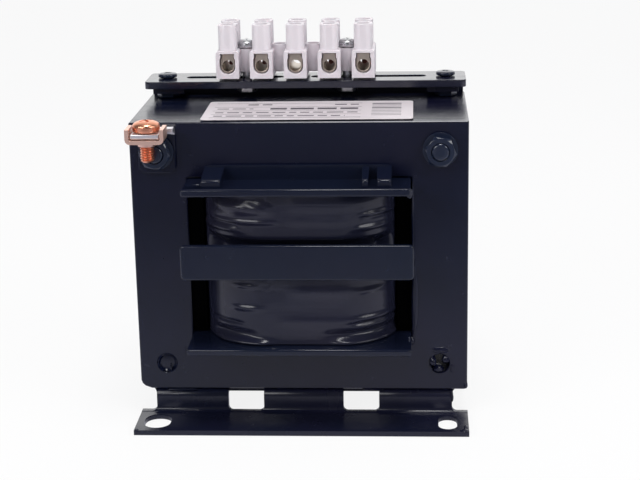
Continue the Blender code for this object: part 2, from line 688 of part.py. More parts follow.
def make_carrier():
    """The bracket hangs behind the core on its bolts, and holds the strip on a ledge at each end."""
    half_sheet = BRACKET_SHEET / 2
    back = BRACKET_FRONT + half_sheet
    low = HOLE_HIGH - BRACKET_DROP + MODULE / 2
    path = [(back, low), (back, LEDGE_TOP - half_sheet), (back - LEDGE_REACH, LEDGE_TOP - half_sheet)]
    section = folded(path, BRACKET_SHEET, BRACKET_BEND)
    bracket = plate("carrier_bracket", "YZ", -BRACKET_HALF, BRACKET_HALF, section)
    ledge_end = CARRIER_SCREW_X + LEDGE_PAST
    ledge_front = back - LEDGE_REACH * 2
    under = LEDGE_TOP - BRACKET_SHEET - BRACKET_BEND
    between = ledge_end - LEDGE_WIDTH
    cut(bracket, box(
        "ledge_gap", (-between, ledge_front, under), (between, BRACKET_FRONT + TOUCH / 3, LEDGE_TOP * 2), CUTTERS,
    ))
    for side in (-1, 1):
        x0, x1 = sorted((side * ledge_end, side * BRACKET_HALF * 2))
        cut(bracket, box(
            f"ledge_end_{side}", (x0, ledge_front, under), (x1, BRACKET_FRONT + TOUCH / 3, LEDGE_TOP * 2), CUTTERS,
        ))
        hole = circle(side * HOLE_X, HOLE_HIGH, BOLT + 2 * SLIDE, 16)
        cut(bracket, plate(f"bolt_hole_{side}", "XZ", BACK, BACK + 2 * BRACKET_SHEET, hole, home=CUTTERS))
        hole = circle(side * CARRIER_SCREW_X, STRIP_Y, CARRIER_SCREW + 2 * TOUCH, 16)
        cut(bracket, plate(f"ledge_hole_{side}", "XY", CORE_TOP, LEDGE_TOP * 2, hole, home=CUTTERS))
    arch_x = BRACKET_HALF - BRACKET_EAR_WIDTH
    arch_top = CORE_TOP - BRACKET_BRIDGE + BRACKET_SHEET
    arch = rounded(
        [(-arch_x, low - BRACKET_SHEET), (arch_x, low - BRACKET_SHEET), (arch_x, arch_top), (-arch_x, arch_top)],
        [0, 0, BRACKET_ARCH_CORNER, BRACKET_ARCH_CORNER],
    )
    cut(bracket, plate("arch", "XZ", BACK, BACK + 3 * BRACKET_SHEET, arch, home=CUTTERS))
    dress(bracket, "lacquered sheet")

    outline = rectangle(-STRIP_HALF, STRIP_BACK - STRIP_DEPTH, STRIP_HALF, STRIP_BACK, STRIP_CORNER)
    slot_end = STRIP_HALF - STRIP_SLOT_FROM_END
    web_left = BLOCK_OFFSET - STRIP_WEB / 2
    web_right = BLOCK_OFFSET + STRIP_WEB / 2
    slots = [
        stadium((a + b) / 2, STRIP_Y, b - a, STRIP_SLOT)
        for a, b in ((-slot_end, web_left), (web_right, slot_end))
    ]
    holes = [circle(s * CARRIER_SCREW_X, STRIP_Y, CARRIER_SCREW + 2 * TOUCH, 16) for s in (-1, 1)]
    strip = plate("carrier_strip", "XY", STRIP_BOTTOM, STRIP_TOP, outline, slots + holes)
    dress(strip, "lacquered sheet")
    for side, name in ((-1, "left"), (1, "right")):
        place = (side * CARRIER_SCREW_X, STRIP_Y, STRIP_TOP + TOUCH)
        screw = pan_screw(
            f"carrier_screw_{name}", place, CARRIER_SCREW_HEAD, CARRIER_SCREW_HEAD_HEIGHT, CARRIER_SCREW,
            CARRIER_SCREW_LENGTH,
        )
        dress(screw, "lacquered fastener")
        nut_top = LEDGE_TOP - BRACKET_SHEET - TOUCH
        dress(nut(
            f"carrier_nut_{name}", "XY", nut_top - CARRIER_NUT_HEIGHT, nut_top, side * CARRIER_SCREW_X,
            STRIP_Y, CARRIER_NUT_FLATS, CARRIER_SCREW,
        ), "lacquered fastener")


def pan_screw(name, place, head, height, shank, length, sides=20):
    """A screw that hangs from its head's underside: a domed head and a plain shank with a chamfered end."""
    dome = [(head / 2 * math.sin(a), height * (0.45 + 0.55 * math.cos(a))) for a in (0, 0.45, 0.85, 1.2)]
    rim = [(head / 2, height * 0.45), (head / 2, 0)]
    radius = shank / 2
    end = [(radius, 0), (radius, -length + radius / 3), (radius * 0.7, -length), (0, -length)]
    return turned(name, dome + rim + end, place, sides=sides)


def pole_places():
    first = BLOCK_OFFSET - (POLES - 1) / 2 * POLE_PITCH
    return [first + i * POLE_PITCH for i in range(POLES)]


def block_screw_places():
    poles = pole_places()
    return (poles[0] + poles[1]) / 2, (poles[-2] + poles[-1]) / 2


def make_block():
    """The moulded block: a body for each clamp, two screw towers on it, and a tube for a screw in each gap."""
    poles = pole_places()
    front = STRIP_Y - BLOCK_DEPTH / 2
    back = STRIP_Y + BLOCK_DEPTH / 2
    half = POLE_WIDTH / 2
    body_top = BLOCK_BOTTOM + POLE_BODY_HEIGHT
    block = None
    parts = []
    for i, x in enumerate(poles):
        section = rounded(
            [(x - half, BLOCK_BOTTOM), (x + half, BLOCK_BOTTOM), (x + half, body_top), (x - half, body_top)],
            [0, 0, POLE_SHOULDER, POLE_SHOULDER], 3,
        )
        body = plate("terminal_block" if i == 0 else f"pole_{i}", "XZ", front, back, section,
                     home=PARTS if i == 0 else CUTTERS)
        if i == 0:
            block = body
        else:
            parts.append(body)
        saddle = TOWER_WIDTH / 2 - SADDLE_INSET
        parts.append(box(
            f"saddle_{i}", (x - saddle, STRIP_Y - TOWER_Y, body_top - 0.001),
            (x + saddle, STRIP_Y + TOWER_Y, BLOCK_BOTTOM + SADDLE_HEIGHT), CUTTERS,
        ))
        for end in (-1, 1):
            y = STRIP_Y + end * TOWER_Y
            outline = rectangle(
                x - TOWER_WIDTH / 2, y - TOWER_DEPTH / 2, x + TOWER_WIDTH / 2, y + TOWER_DEPTH / 2, TOWER_CORNER, 3,
            )
            parts.append(plate(
                f"tower_{i}_{end}", "XY", body_top - 0.001, BLOCK_BOTTOM + TOWER_HEIGHT, outline, home=CUTTERS,
            ))
        parts.append(box(
            f"block_foot_{i}", (x - BLOCK_FOOT_WIDTH / 2, STRIP_Y - BLOCK_FOOT_DEPTH / 2, STRIP_TOP + TOUCH),
            (x + BLOCK_FOOT_WIDTH / 2, STRIP_Y + BLOCK_FOOT_DEPTH / 2, BLOCK_BOTTOM + 0.0005), CUTTERS,
        ))
    for i, (left, right) in enumerate(zip(poles, poles[1:])):
        middle = (left + right) / 2
        top = BLOCK_BOTTOM + TUBE_TOP
        if middle not in block_screw_places():
            top += TUBE_RISE
        parts.append(plate(
            f"tube_{i}", "XY", BLOCK_BOTTOM + TUBE_BOTTOM, top, circle(middle, STRIP_Y, TUBE_OUTER, 24), home=CUTTERS,
        ))
    join(block, *parts)
    for i, x in enumerate(poles):
        passage = clamp_outline(x, SLIDE)
        cut(block, plate(f"clamp_passage_{i}", "XZ", front - SLIDE, back + SLIDE, passage, home=CUTTERS))
        for end in (-1, 1):
            hole = circle(x, STRIP_Y + end * TOWER_Y, SCREW_SHAFT_HOLE, 12)
            cut(block, plate(
                f"screw_shaft_{i}_{end}", "XY", CLAMP_LOW + CLAMP_HEIGHT / 2, BLOCK_BOTTOM + 2 * TOWER_HEIGHT, hole,
                home=CUTTERS,
            ))
    for i, (left, right) in enumerate(zip(poles, poles[1:])):
        hole = circle((left + right) / 2, STRIP_Y, TUBE_HOLE, 12)
        cut(block, plate(
            f"tube_hole_{i}", "XY", BLOCK_BOTTOM - 0.001, BLOCK_BOTTOM + 2 * TUBE_TOP, hole, home=CUTTERS,
        ))
    dress(block, "white moulding")


def clamp_outline(x, play=0.0):
    """The end view of a clamp at x: round below around its bore, and narrower above its shoulders."""
    half = CLAMP_WIDTH / 2 + play
    neck = CLAMP_NECK / 2 + play
    low = CLAMP_LOW - play
    top = CLAMP_LOW + CLAMP_HEIGHT + play
    upper = top - CLAMP_NECK_HEIGHT
    lower = upper - CLAMP_SHOULDER
    return rounded(
        [(x - half, low), (x + half, low), (x + half, lower), (x + neck, upper), (x + neck, top), (x - neck, top),
         (x - neck, upper), (x - half, lower)],
        [CLAMP_CORNER + play] * 2 + [0] * 6,
    )


def make_clamps():
    """A brass clamp in each pole, with a screw from above near each of its ends."""
    for i, x in enumerate(pole_places(), 1):
        outline = clamp_outline(x)
        bore = circle(x, CLAMP_AXIS, CLAMP_BORE, 16)
        low = STRIP_Y - CLAMP_LENGTH / 2
        clamp = plate(f"terminal_clamp_{i}", "XZ", low, low + CLAMP_LENGTH, outline, [bore])
        for end, name in ((-1, "front"), (1, "rear")):
            y = STRIP_Y + end * TOWER_Y
            hole = circle(x, y, CLAMP_SCREW + 2 * TOUCH, 12)
            cut(clamp, plate(
                f"clamp_hole_{i}_{end}", "XY", CLAMP_AXIS, CLAMP_LOW + 2 * CLAMP_HEIGHT, hole, home=CUTTERS,
            ))
            add_clamp_screw(f"clamp_screw_{name}_{i}", x, y, CLAMP_SCREW_REACH[name])
        dress(clamp, "brass")


def add_clamp_screw(name, x, y, reach):
    """A grub screw whose wider head stays in the tower, with a slot across it."""
    shank = CLAMP_SCREW / 2
    head = CLAMP_SCREW_HEAD / 2
    under = reach + CLAMP_HEIGHT - CLAMP_BORE_RISE - CLAMP_BORE / 2 + TOUCH
    bottom = CLAMP_LOW + CLAMP_HEIGHT + TOUCH - under
    profile = [
        (0, CLAMP_SCREW_LENGTH), (head, CLAMP_SCREW_LENGTH), (head, under), (shank, under), (shank, 0.0004),
        (shank - 0.0004, 0), (0, 0),
    ]
    screw = turned(name, profile, (x, y, bottom), sides=12)
    slot = CLAMP_SCREW_SLOT / 2
    cut(screw, box(
        "slot_" + name, (x - 2 * head, y - slot, bottom + CLAMP_SCREW_LENGTH - CLAMP_SCREW_SLOT_DEPTH),
        (x + 2 * head, y + slot, bottom + 2 * CLAMP_SCREW_LENGTH), CUTTERS,
    ))
    dress(screw, "zinc")


def make_block_screws():
    """Two zinc screws through the block and the strip's slots, with nuts under the strip."""
    seat = BLOCK_BOTTOM + TUBE_TOP + TOUCH
    nut_top = STRIP_BOTTOM - TOUCH
    length = seat - (nut_top - BLOCK_NUT_HEIGHT) + BLOCK_SCREW_END
    for name, x in zip(("left", "right"), block_screw_places()):
        screw = pan_screw(
            f"block_screw_{name}", (x, STRIP_Y, seat), BLOCK_SCREW_HEAD, BLOCK_SCREW_HEAD_HEIGHT, BLOCK_SCREW,
            length, 16,
        )
        dress(screw, "zinc")
        dress(nut(
            f"block_nut_{name}", "XY", nut_top - BLOCK_NUT_HEIGHT, nut_top, x, STRIP_Y, BLOCK_NUT_FLATS, BLOCK_SCREW,
        ), "zinc")


def make_earth_terminal():
    """A plate under the left nut turns forward over it to a tapped tongue, with a strap clamp and its screw."""
    half_sheet = EARTH_SHEET / 2
    plane = EARTH_BACK - half_sheet
    tab = EARTH_TOP - half_sheet
    low = HOLE_HIGH - EARTH_DROP
    section = folded(
        [(plane, low), (plane, tab), (TONGUE_END, tab)], EARTH_SHEET, EARTH_BEND,
    )
    left = -HOLE_X - EARTH_WIDTH / 2
    right = left + EARTH_WIDTH
    bracket = plate("earth_bracket", "YZ", left, right, section)
    outside = 2 * EARTH_WIDTH
    root = FRONT - EARTH_ROOT
    reach = TONGUE_END - EARTH_TONGUE_PAST
    tongue = EARTH_TONGUE_WIDTH / 2
    under = tab - EARTH_SHEET
    cut(
        bracket,
        box("beside_tongue", (EARTH_SCREW_X + tongue, reach, under), (right + outside, root, under + outside), CUTTERS),
        plate("earth_hole", "XZ", FRONT - 0.003, FRONT, circle(-HOLE_X, HOLE_HIGH, BOLT + 2 * SLIDE, 16), home=CUTTERS),
        plate("tongue_hole", "XY", under - 0.001, under + outside,
              circle(EARTH_SCREW_X, EARTH_SCREW_Y, EARTH_SCREW + 2 * TOUCH, 16), home=CUTTERS),
    )
    for side, x in ((-1, left), (1, right)):
        far = x + side * EARTH_CORNER
        near = x - side * EARTH_CORNER
        round_off = [(near, low), (far, low - EARTH_CORNER), (far, low + EARTH_CORNER), (x, low + EARTH_CORNER)]
        cut(bracket, plate(f"plate_corner_{side}", "XZ", FRONT - 0.003, FRONT, round_off, home=CUTTERS))
    dress(bracket, "lacquered sheet")

    tongue_low = tab - half_sheet
    strap_mid = tongue_low - TOUCH - STRAP_SHEET / 2
    ear_x = tongue + TOUCH + STRAP_SHEET / 2
    path = [
        (EARTH_SCREW_X - ear_x, strap_mid + STRAP_EAR), (EARTH_SCREW_X - ear_x, strap_mid),
        (EARTH_SCREW_X + ear_x, strap_mid), (EARTH_SCREW_X + ear_x, strap_mid + STRAP_EAR),
    ]
    section = folded(path, STRAP_SHEET, STRAP_BEND, 3)
    strap_front = EARTH_SCREW_Y - STRAP_DEPTH / 2 - STRAP_OFFSET
    strap = plate("earth_clamp", "XZ", strap_front, strap_front + STRAP_DEPTH, section)
    collar_top = strap_mid
    collar_low = strap_mid - STRAP_SHEET / 2 - COLLAR_HEIGHT
    join(strap, plate(
        "collar", "XY", collar_low, collar_top, circle(EARTH_SCREW_X, EARTH_SCREW_Y, COLLAR, 16), home=CUTTERS,
    ))
    cut(strap, plate(
        "collar_bore", "XY", collar_low - 0.001, strap_mid + 0.001,
        circle(EARTH_SCREW_X, EARTH_SCREW_Y, EARTH_SCREW + 2 * TOUCH, 16), home=CUTTERS,
    ))
    dress(strap, "copper")
    screw = pan_screw(
        "earth_screw", (EARTH_SCREW_X, EARTH_SCREW_Y, EARTH_TOP + TOUCH), EARTH_HEAD, EARTH_HEAD_HEIGHT, EARTH_SCREW,
        EARTH_SCREW_LENGTH, 24,
    )
    dress(screw, "copper")


def smooth_route(points, step):
    """Points about a step apart on a smooth curve through the given ones."""
    points = [Vector(p) for p in points]
    ends = [points[0] * 2 - points[1]] + points + [points[-1] * 2 - points[-2]]
    route = []
    for a, b, c, d in zip(ends, ends[1:], ends[2:], ends[3:]):
        count = max(2, round((c - b).length / step))
        for i in range(count):
            t = i / count
            route.append(
                0.5 * ((2 * b) + (c - a) * t + (2 * a - 5 * b + 4 * c - d) * t * t
                       + (3 * b - 3 * c + d - a) * t * t * t)
            )
    route.append(points[-1])
    return route


def make_leads():
    """Sleeved leads from the windings up behind the carrier into the clamps, to under their rear screws."""
    poles = pole_places()
    names = ("lead_primary_start", "lead_primary_end", "lead_secondary_start", "lead_secondary_end")
    clamped = CLAMP_AXIS - CLAMP_BORE / 2 + TOUCH + LEAD / 2
    block_back = STRIP_Y + BLOCK_DEPTH / 2
    for i, (name, x) in enumerate(zip(names, LEAD_PLACES)):
        pole = (poles[0], poles[1], poles[-2], poles[-1])[i]
        start = MIDDLE_HIGH + MODULE * 0.6 if i < 2 else WINDOW_LOW + MODULE * 0.6
        points = [
            (x, LEAD_Y, start),
            (x, LEAD_Y, (start + FORMER_HIGH) / 2),
            (x, LEAD_Y, FORMER_HIGH + LIP_RISE),
            (x, LEAD_Y + 0.0002, FORMER_HIGH + WALL_HEIGHT + 0.002),
            ((2 * x + pole) / 3, LEAD_Y - 0.0002, STRIP_BOTTOM - LEAD_UNDER),
            (pole, LEAD_Y - 0.0018, STRIP_TOP + 0.0005),
            (pole, block_back + LEAD_BEHIND, clamped - 0.0004),
            (pole, block_back + 0.0008, clamped),
            (pole, STRIP_Y + TOWER_Y - CLAMP_SCREW / 2, clamped),
        ]
        curve = bpy.data.curves.new(name, "CURVE")
        curve.dimensions = "3D"
        curve.bevel_depth = LEAD / 2
        curve.bevel_resolution = 2
        curve.use_fill_caps = True
        route = smooth_route(points, LEAD_STEP)
        spline = curve.splines.new("POLY")
        spline.points.add(len(route) - 1)
        for point, place in zip(spline.points, route):
            point.co = (*place, 1)
        thing = bpy.data.objects.new(name, curve)
        PARTS.objects.link(thing)
        dress(thing, "lead sleeve")


def make_label():
    """The plain label on top of the core, at its front edge."""
    left = LABEL_OFFSET - LABEL_WIDTH / 2
    front = FRONT + LABEL_FROM_EDGE
    outline = rectangle(left, front, left + LABEL_WIDTH, front + LABEL_DEPTH, LABEL_CORNER)
    low = CORE_TOP + TOUCH
    dress(plate("rating_label", "XY", low, low + LABEL_SHEET, outline), "paper")


def shade_round_pieces():
    for thing in PARTS.objects:
        if thing.type == "MESH":
            thing.data.shade_smooth()
            thing.data.set_sharp_from_angle(angle=math.radians(35))


clear_scene()
PARTS = new_collection("mains_transformer")
CUTTERS = new_collection("cutters")
CUTTERS.hide_render = True
make_core()
make_base()
make_former()
make_coils()
make_core_bolts()
make_carrier()
make_block()
make_clamps()
make_block_screws()
make_earth_terminal()
make_leads()
make_label()
shade_round_pieces()
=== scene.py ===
import math
import random

import bmesh
import bpy
from mathutils import Matrix, Vector, noise


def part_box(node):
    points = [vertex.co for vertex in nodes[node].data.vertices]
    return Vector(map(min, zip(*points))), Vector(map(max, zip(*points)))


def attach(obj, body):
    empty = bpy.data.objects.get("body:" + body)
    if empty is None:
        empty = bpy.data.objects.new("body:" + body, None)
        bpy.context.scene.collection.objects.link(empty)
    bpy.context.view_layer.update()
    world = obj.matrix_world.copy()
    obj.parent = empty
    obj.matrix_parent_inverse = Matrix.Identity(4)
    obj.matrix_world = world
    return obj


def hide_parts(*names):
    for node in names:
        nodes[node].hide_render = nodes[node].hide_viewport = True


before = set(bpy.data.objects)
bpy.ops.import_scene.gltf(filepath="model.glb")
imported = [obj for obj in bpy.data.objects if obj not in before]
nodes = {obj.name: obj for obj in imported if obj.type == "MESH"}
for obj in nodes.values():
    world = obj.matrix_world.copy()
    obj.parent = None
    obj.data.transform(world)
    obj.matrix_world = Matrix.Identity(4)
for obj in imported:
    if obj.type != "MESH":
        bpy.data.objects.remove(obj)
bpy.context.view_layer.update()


# The camera stands a little to the right of the middle and looks down on the front.
# Its place, turn and lens come from a fit to the core's corners and holes.
pitch, yaw, roll = (math.radians(a) for a in (15.896, -3.549, -1.090))
forward = Vector((math.sin(yaw) * math.cos(pitch), math.cos(yaw) * math.cos(pitch), -math.sin(pitch)))
right = Vector((math.cos(yaw), -math.sin(yaw), 0))
up = right.cross(forward)
camera_right = math.cos(roll) * right + math.sin(roll) * up
camera_up = math.cos(roll) * up - math.sin(roll) * right
camera = bpy.data.objects.new("camera", bpy.data.cameras.new("camera"))
camera.data.lens = 90.12
camera.data.sensor_width = 36
camera.data.clip_start = 0.05
camera.data.clip_end = 20
turn = Matrix((camera_right, camera_up, -forward)).transposed()
camera.matrix_world = Matrix.Translation((0.03302, -0.46264, 0.17975)) @ turn.to_4x4()
bpy.context.scene.collection.objects.link(camera)
bpy.context.scene.camera = camera
bpy.context.scene.view_settings.view_transform = "Standard"


# The room is a white sweep. The camera sees it white all round, and the gloss sees it white behind the object and
# dark at the sides and in front, where the room is not lit. Its light on the object is even.
world = bpy.data.worlds.new("room")
bpy.context.scene.world = world
world.use_nodes = True
tree = world.node_tree
tree.nodes.clear()
where = tree.nodes.new("ShaderNodeTexCoord")
split = tree.nodes.new("ShaderNodeSeparateXYZ")
tree.links.new(where.outputs["Generated"], split.inputs[0])
depth = tree.nodes.new("ShaderNodeMapRange")
depth.interpolation_type = "SMOOTHSTEP"
for socket, value in zip(("From Min", "From Max", "To Min", "To Max"), (0.1, 0.75, 0.07, 1.0)):
    depth.inputs[socket].default_value = value
tree.links.new(split.outputs["Y"], depth.inputs["Value"])
seen = tree.nodes.new("ShaderNodeBackground")
seen.inputs["Color"].default_value = (1, 1, 1, 1)
shown = tree.nodes.new("ShaderNodeMath")
shown.operation = "MAXIMUM"
tree.links.new(depth.outputs["Result"], shown.inputs[0])
tree.links.new(tree.nodes.new("ShaderNodeLightPath").outputs["Is Camera Ray"], shown.inputs[1])
tree.links.new(shown.outputs[0], seen.inputs["Strength"])
lit = tree.nodes.new("ShaderNodeBackground")
lit.inputs["Color"].default_value = (0.96, 0.97, 1, 1)
lit.inputs["Strength"].default_value = 0.4


def seen_by_gloss(tree):
    """One where a ray comes from the camera, from a reflection or through glass, and nothing where it is light."""
    path = tree.nodes.new("ShaderNodeLightPath")
    total = path.outputs["Is Camera Ray"]
    for other in ("Is Glossy Ray", "Is Transmission Ray"):
        either = tree.nodes.new("ShaderNodeMath")
        either.operation = "MAXIMUM"
        tree.links.new(total, either.inputs[0])
        tree.links.new(path.outputs[other], either.inputs[1])
        total = either.outputs[0]
    return total


choice = tree.nodes.new("ShaderNodeMixShader")
tree.links.new(seen_by_gloss(tree), choice.inputs["Fac"])
tree.links.new(lit.outputs[0], choice.inputs[1])
tree.links.new(seen.outputs[0], choice.inputs[2])
tree.links.new(choice.outputs[0], tree.nodes.new("ShaderNodeOutputWorld").inputs["Surface"])


# Soft boxes: one over the object that glints along its upper edges, a faint wide one behind it, and one at each
# side of the camera, which draw the streaks on the folds of the tape. All are turned to the object's middle.
object_middle = Vector((0, 0, 0.05))


def soft_box(name, place, size, radiance):
    """A rectangular lamp that the camera does not see, whose light follows from its size and radiance."""
    lamp = bpy.data.lights.new(name, "AREA")
    lamp.shape = "RECTANGLE"
    lamp.size, lamp.size_y = size
    lamp.energy = radiance * math.pi * size[0] * size[1]
    box = bpy.data.objects.new(name, lamp)
    box.location = place
    box.rotation_euler = (Vector(place) - object_middle).to_track_quat("Z", "Y").to_euler()
    box.visible_camera = False
    bpy.context.scene.collection.objects.link(box)


soft_box("soft_box_top", (0.06, -0.23, 0.95), (0.3, 0.3), 13.5)
soft_box("soft_box_back", (0.0, 1.1, 0.42), (1.7, 0.5), 0.5)
soft_box("soft_box_left", (-0.45, -0.58, 0.46), (0.5, 0.24), 5.5)
soft_box("soft_box_right", (0.66, -0.38, 0.5), (0.5, 0.24), 5.5)

# The floor is matt white paper, which is near white by itself and keeps a soft shadow. What the gloss sees of it
# is darker in front, where the room is not lit, so that the core's face mirrors a darker middle.
sheet = bmesh.new()
bmesh.ops.create_grid(sheet, x_segments=1, y_segments=1, size=3)
floor_mesh = bpy.data.meshes.new("floor")
sheet.to_mesh(floor_mesh)
sheet.free()
floor = bpy.data.objects.new("floor", floor_mesh)
bpy.context.scene.collection.objects.link(floor)
floor.location.z = -0.0002
paper = bpy.data.materials.new("floor_paper")
paper.use_nodes = True
tree = paper.node_tree
shader = tree.nodes["Principled BSDF"]
shader.inputs["Base Color"].default_value = (0.9, 0.9, 0.91, 1)
shader.inputs["Roughness"].default_value = 1
shader.inputs["Specular IOR Level"].default_value = 0
is_mirrored = tree.nodes.new("ShaderNodeLightPath").outputs["Is Glossy Ray"]
near = tree.nodes.new("ShaderNodeVectorMath")
near.operation = "DISTANCE"
near.inputs[1].default_value = (-0.01, -0.42, 0)
tree.links.new(tree.nodes.new("ShaderNodeTexCoord").outputs["Object"], near.inputs[0])
fall = tree.nodes.new("ShaderNodeMapRange")
fall.interpolation_type = "SMOOTHSTEP"
for socket, value in zip(("From Min", "From Max", "To Min", "To Max"), (0.1, 0.42, 0.22, 0.8)):
    fall.inputs[socket].default_value = value
tree.links.new(near.outputs["Value"], fall.inputs["Value"])
brightness = tree.nodes.new("ShaderNodeMix")
brightness.inputs["A"].default_value = 1
tree.links.new(is_mirrored, brightness.inputs["Factor"])
tree.links.new(fall.outputs["Result"], brightness.inputs["B"])
coolness = tree.nodes.new("ShaderNodeMix")
coolness.data_type = "RGBA"
coolness.inputs["A"].default_value = (1, 1, 1, 1)
coolness.inputs["B"].default_value = (0.88, 0.88, 1, 1)
tree.links.new(is_mirrored, coolness.inputs["Factor"])
glow = tree.nodes.new("ShaderNodeEmission")
tree.links.new(coolness.outputs["Result"], glow.inputs["Color"])
tree.links.new(brightness.outputs["Result"], glow.inputs["Strength"])
share = tree.nodes.new("ShaderNodeMath")
share.operation = "MULTIPLY"
share.inputs[1].default_value = 0.86
tree.links.new(seen_by_gloss(tree), share.inputs[0])
glow_share = tree.nodes.new("ShaderNodeMath")
glow_share.operation = "MAXIMUM"
tree.links.new(share.outputs[0], glow_share.inputs[0])
tree.links.new(is_mirrored, glow_share.inputs[1])
blend = tree.nodes.new("ShaderNodeMixShader")
tree.links.new(glow_share.outputs[0], blend.inputs["Fac"])
tree.links.new(shader.outputs[0], blend.inputs[1])
tree.links.new(glow.outputs[0], blend.inputs[2])
tree.links.new(blend.outputs[0], tree.nodes["Material Output"].inputs["Surface"])
floor.data.materials.append(paper)


# The core is a stack of E and I sheets of silicon steel, 0.5 mm each, whose flat face is the front. The dipping
# lacquer has closed the joint between the two packs, so the core is one skin here. It has run thin over the cut
# edges of the sheets, which show as fine lines on the top and the sides.
def lacquer_coat():
    """Colour, roughness and normal of the dark lacquer: long shallow runs, clouds, specks, and sheet edges."""
    group = bpy.data.node_groups.new("lacquer coat", "ShaderNodeTree")
    group.interface.new_socket("Colour", in_out="INPUT", socket_type="NodeSocketColor")
    group.interface.new_socket("Tint", in_out="INPUT", socket_type="NodeSocketColor")
    for name in ("Runs", "Peel", "Gloss", "Sheets", "Dull Top"):
        group.interface.new_socket(name, in_out="INPUT", socket_type="NodeSocketFloat")
    group.interface.new_socket("Colour", in_out="OUTPUT", socket_type="NodeSocketColor")
    group.interface.new_socket("Roughness", in_out="OUTPUT", socket_type="NodeSocketFloat")
    group.interface.new_socket("Normal", in_out="OUTPUT", socket_type="NodeSocketVector")
    link = group.links.new

    def node(kind, **settings):
        made = group.nodes.new("ShaderNode" + kind)
        for name, value in settings.items():
            setattr(made, name, value)
        return made

    def texture(scale, detail, stretch):
        squeezed = node("Mapping")
        squeezed.inputs["Scale"].default_value = stretch
        link(where.outputs["Object"], squeezed.inputs["Vector"])
        made = node("TexNoise")
        made.inputs["Scale"].default_value = scale
        made.inputs["Detail"].default_value = detail
        link(squeezed.outputs["Vector"], made.inputs["Vector"])
        return made.outputs["Fac"]

    def ramp(value, low, high, to_low=0.0, to_high=1.0):
        made = node("MapRange")
        for socket, number in zip(("From Min", "From Max", "To Min", "To Max"), (low, high, to_low, to_high)):
            made.inputs[socket].default_value = number
        link(value, made.inputs["Value"])
        return made.outputs["Result"]

    def product(a, b):
        made = node("Math", operation="MULTIPLY")
        for value, socket in zip((a, b), made.inputs):
            if isinstance(value, float):
                socket.default_value = value
            else:
                link(value, socket)
        return made.outputs[0]

    def total(a, b):
        made = node("Math", operation="ADD")
        link(a, made.inputs[0])
        link(b, made.inputs[1])
        return made.outputs[0]

    given, result = group.nodes.new("NodeGroupInput"), group.nodes.new("NodeGroupOutput")
    where = node("TexCoord")
    facing = node("SeparateXYZ")
    link(node("NewGeometry").outputs["True Normal"], facing.inputs[0])
    tilt = node("Math", operation="ABSOLUTE")
    link(facing.outputs["Y"], tilt.inputs[0])
    cut_side = product(ramp(tilt.outputs[0], 0.5, 0.2), given.outputs["Sheets"])
    top = product(ramp(facing.outputs["Z"], 0.6, 0.95), given.outputs["Dull Top"])

    coarse, fine, edges = node("Bump"), node("Bump"), node("Bump")
    coarse.inputs["Distance"].default_value = 0.0012
    fine.inputs["Distance"].default_value = 0.00004
    edges.inputs["Distance"].default_value = 0.0003
    link(given.outputs["Runs"], coarse.inputs["Strength"])
    link(given.outputs["Peel"], fine.inputs["Strength"])
    link(cut_side, edges.inputs["Strength"])
    link(texture(70, 2, (1, 1, 0.45)), coarse.inputs["Height"])
    link(texture(900, 1, (1, 1, 1)), fine.inputs["Height"])
    cut_lines = texture(60, 3, (0.12, 9, 0.12))
    link(cut_lines, edges.inputs["Height"])
    link(coarse.outputs["Normal"], fine.inputs["Normal"])
    link(fine.outputs["Normal"], edges.inputs["Normal"])
    link(edges.outputs["Normal"], result.inputs["Normal"])

    clouds = texture(28, 4, (1, 1, 1))
    blend = node("Mix", data_type="RGBA")
    link(ramp(clouds, 0.38, 0.62), blend.inputs["Factor"])
    link(given.outputs["Colour"], blend.inputs["A"])
    link(given.outputs["Tint"], blend.inputs["B"])
    thin = node("Mix", data_type="RGBA")
    link(product(cut_side, ramp(cut_lines, 0.45, 0.7)), thin.inputs["Factor"])
    link(blend.outputs["Result"], thin.inputs["A"])
    thin.inputs["B"].default_value = (0.045, 0.047, 0.075, 1)
    specks = node("Mix", data_type="RGBA")
    link(ramp(texture(420, 2, (1, 1, 1)), 0.72, 0.8, 0.0, 0.2), specks.inputs["Factor"])
    link(thin.outputs["Result"], specks.inputs["A"])
    specks.inputs["B"].default_value = (0.06, 0.065, 0.09, 1)
    link(specks.outputs["Result"], result.inputs["Colour"])
    dulled = total(given.outputs["Gloss"], total(product(clouds, 0.08), top))
    link(total(dulled, product(ramp(texture(240, 3, (1, 1, 0.3)), 0.5, 0.8), 0.06)), result.inputs["Roughness"])
    return group


LACQUER_COAT = lacquer_coat()


def lacquer(name, colour=(0.0036, 0.0058, 0.0185), tint=(0.0054, 0.006, 0.0195), runs=0.1, peel=0.3, gloss=0.12,
            sheets=0.0, dull_top=0.0, specular=0.4):
    material = bpy.data.materials.new(name)
    material.use_nodes = True
    tree = material.node_tree
    shader = tree.nodes["Principled BSDF"]
    group = tree.nodes.new("ShaderNodeGroup")
    group.node_tree = LACQUER_COAT
    group.inputs["Colour"].default_value = (*colour, 1)
    group.inputs["Tint"].default_value = (*tint, 1)
    for socket, value in zip(("Runs", "Peel", "Gloss", "Sheets", "Dull Top"), (runs, peel, gloss, sheets, dull_top)):
        group.inputs[socket].default_value = value
    tree.links.new(group.outputs["Colour"], shader.inputs["Base Color"])
    tree.links.new(group.outputs["Roughness"], shader.inputs["Roughness"])
    tree.links.new(group.outputs["Normal"], shader.inputs["Normal"])
    shader.inputs["IOR"].default_value = 1.5
    shader.inputs["Specular IOR Level"].default_value = specular
    material.diffuse_color = (*colour, 1)
    return material


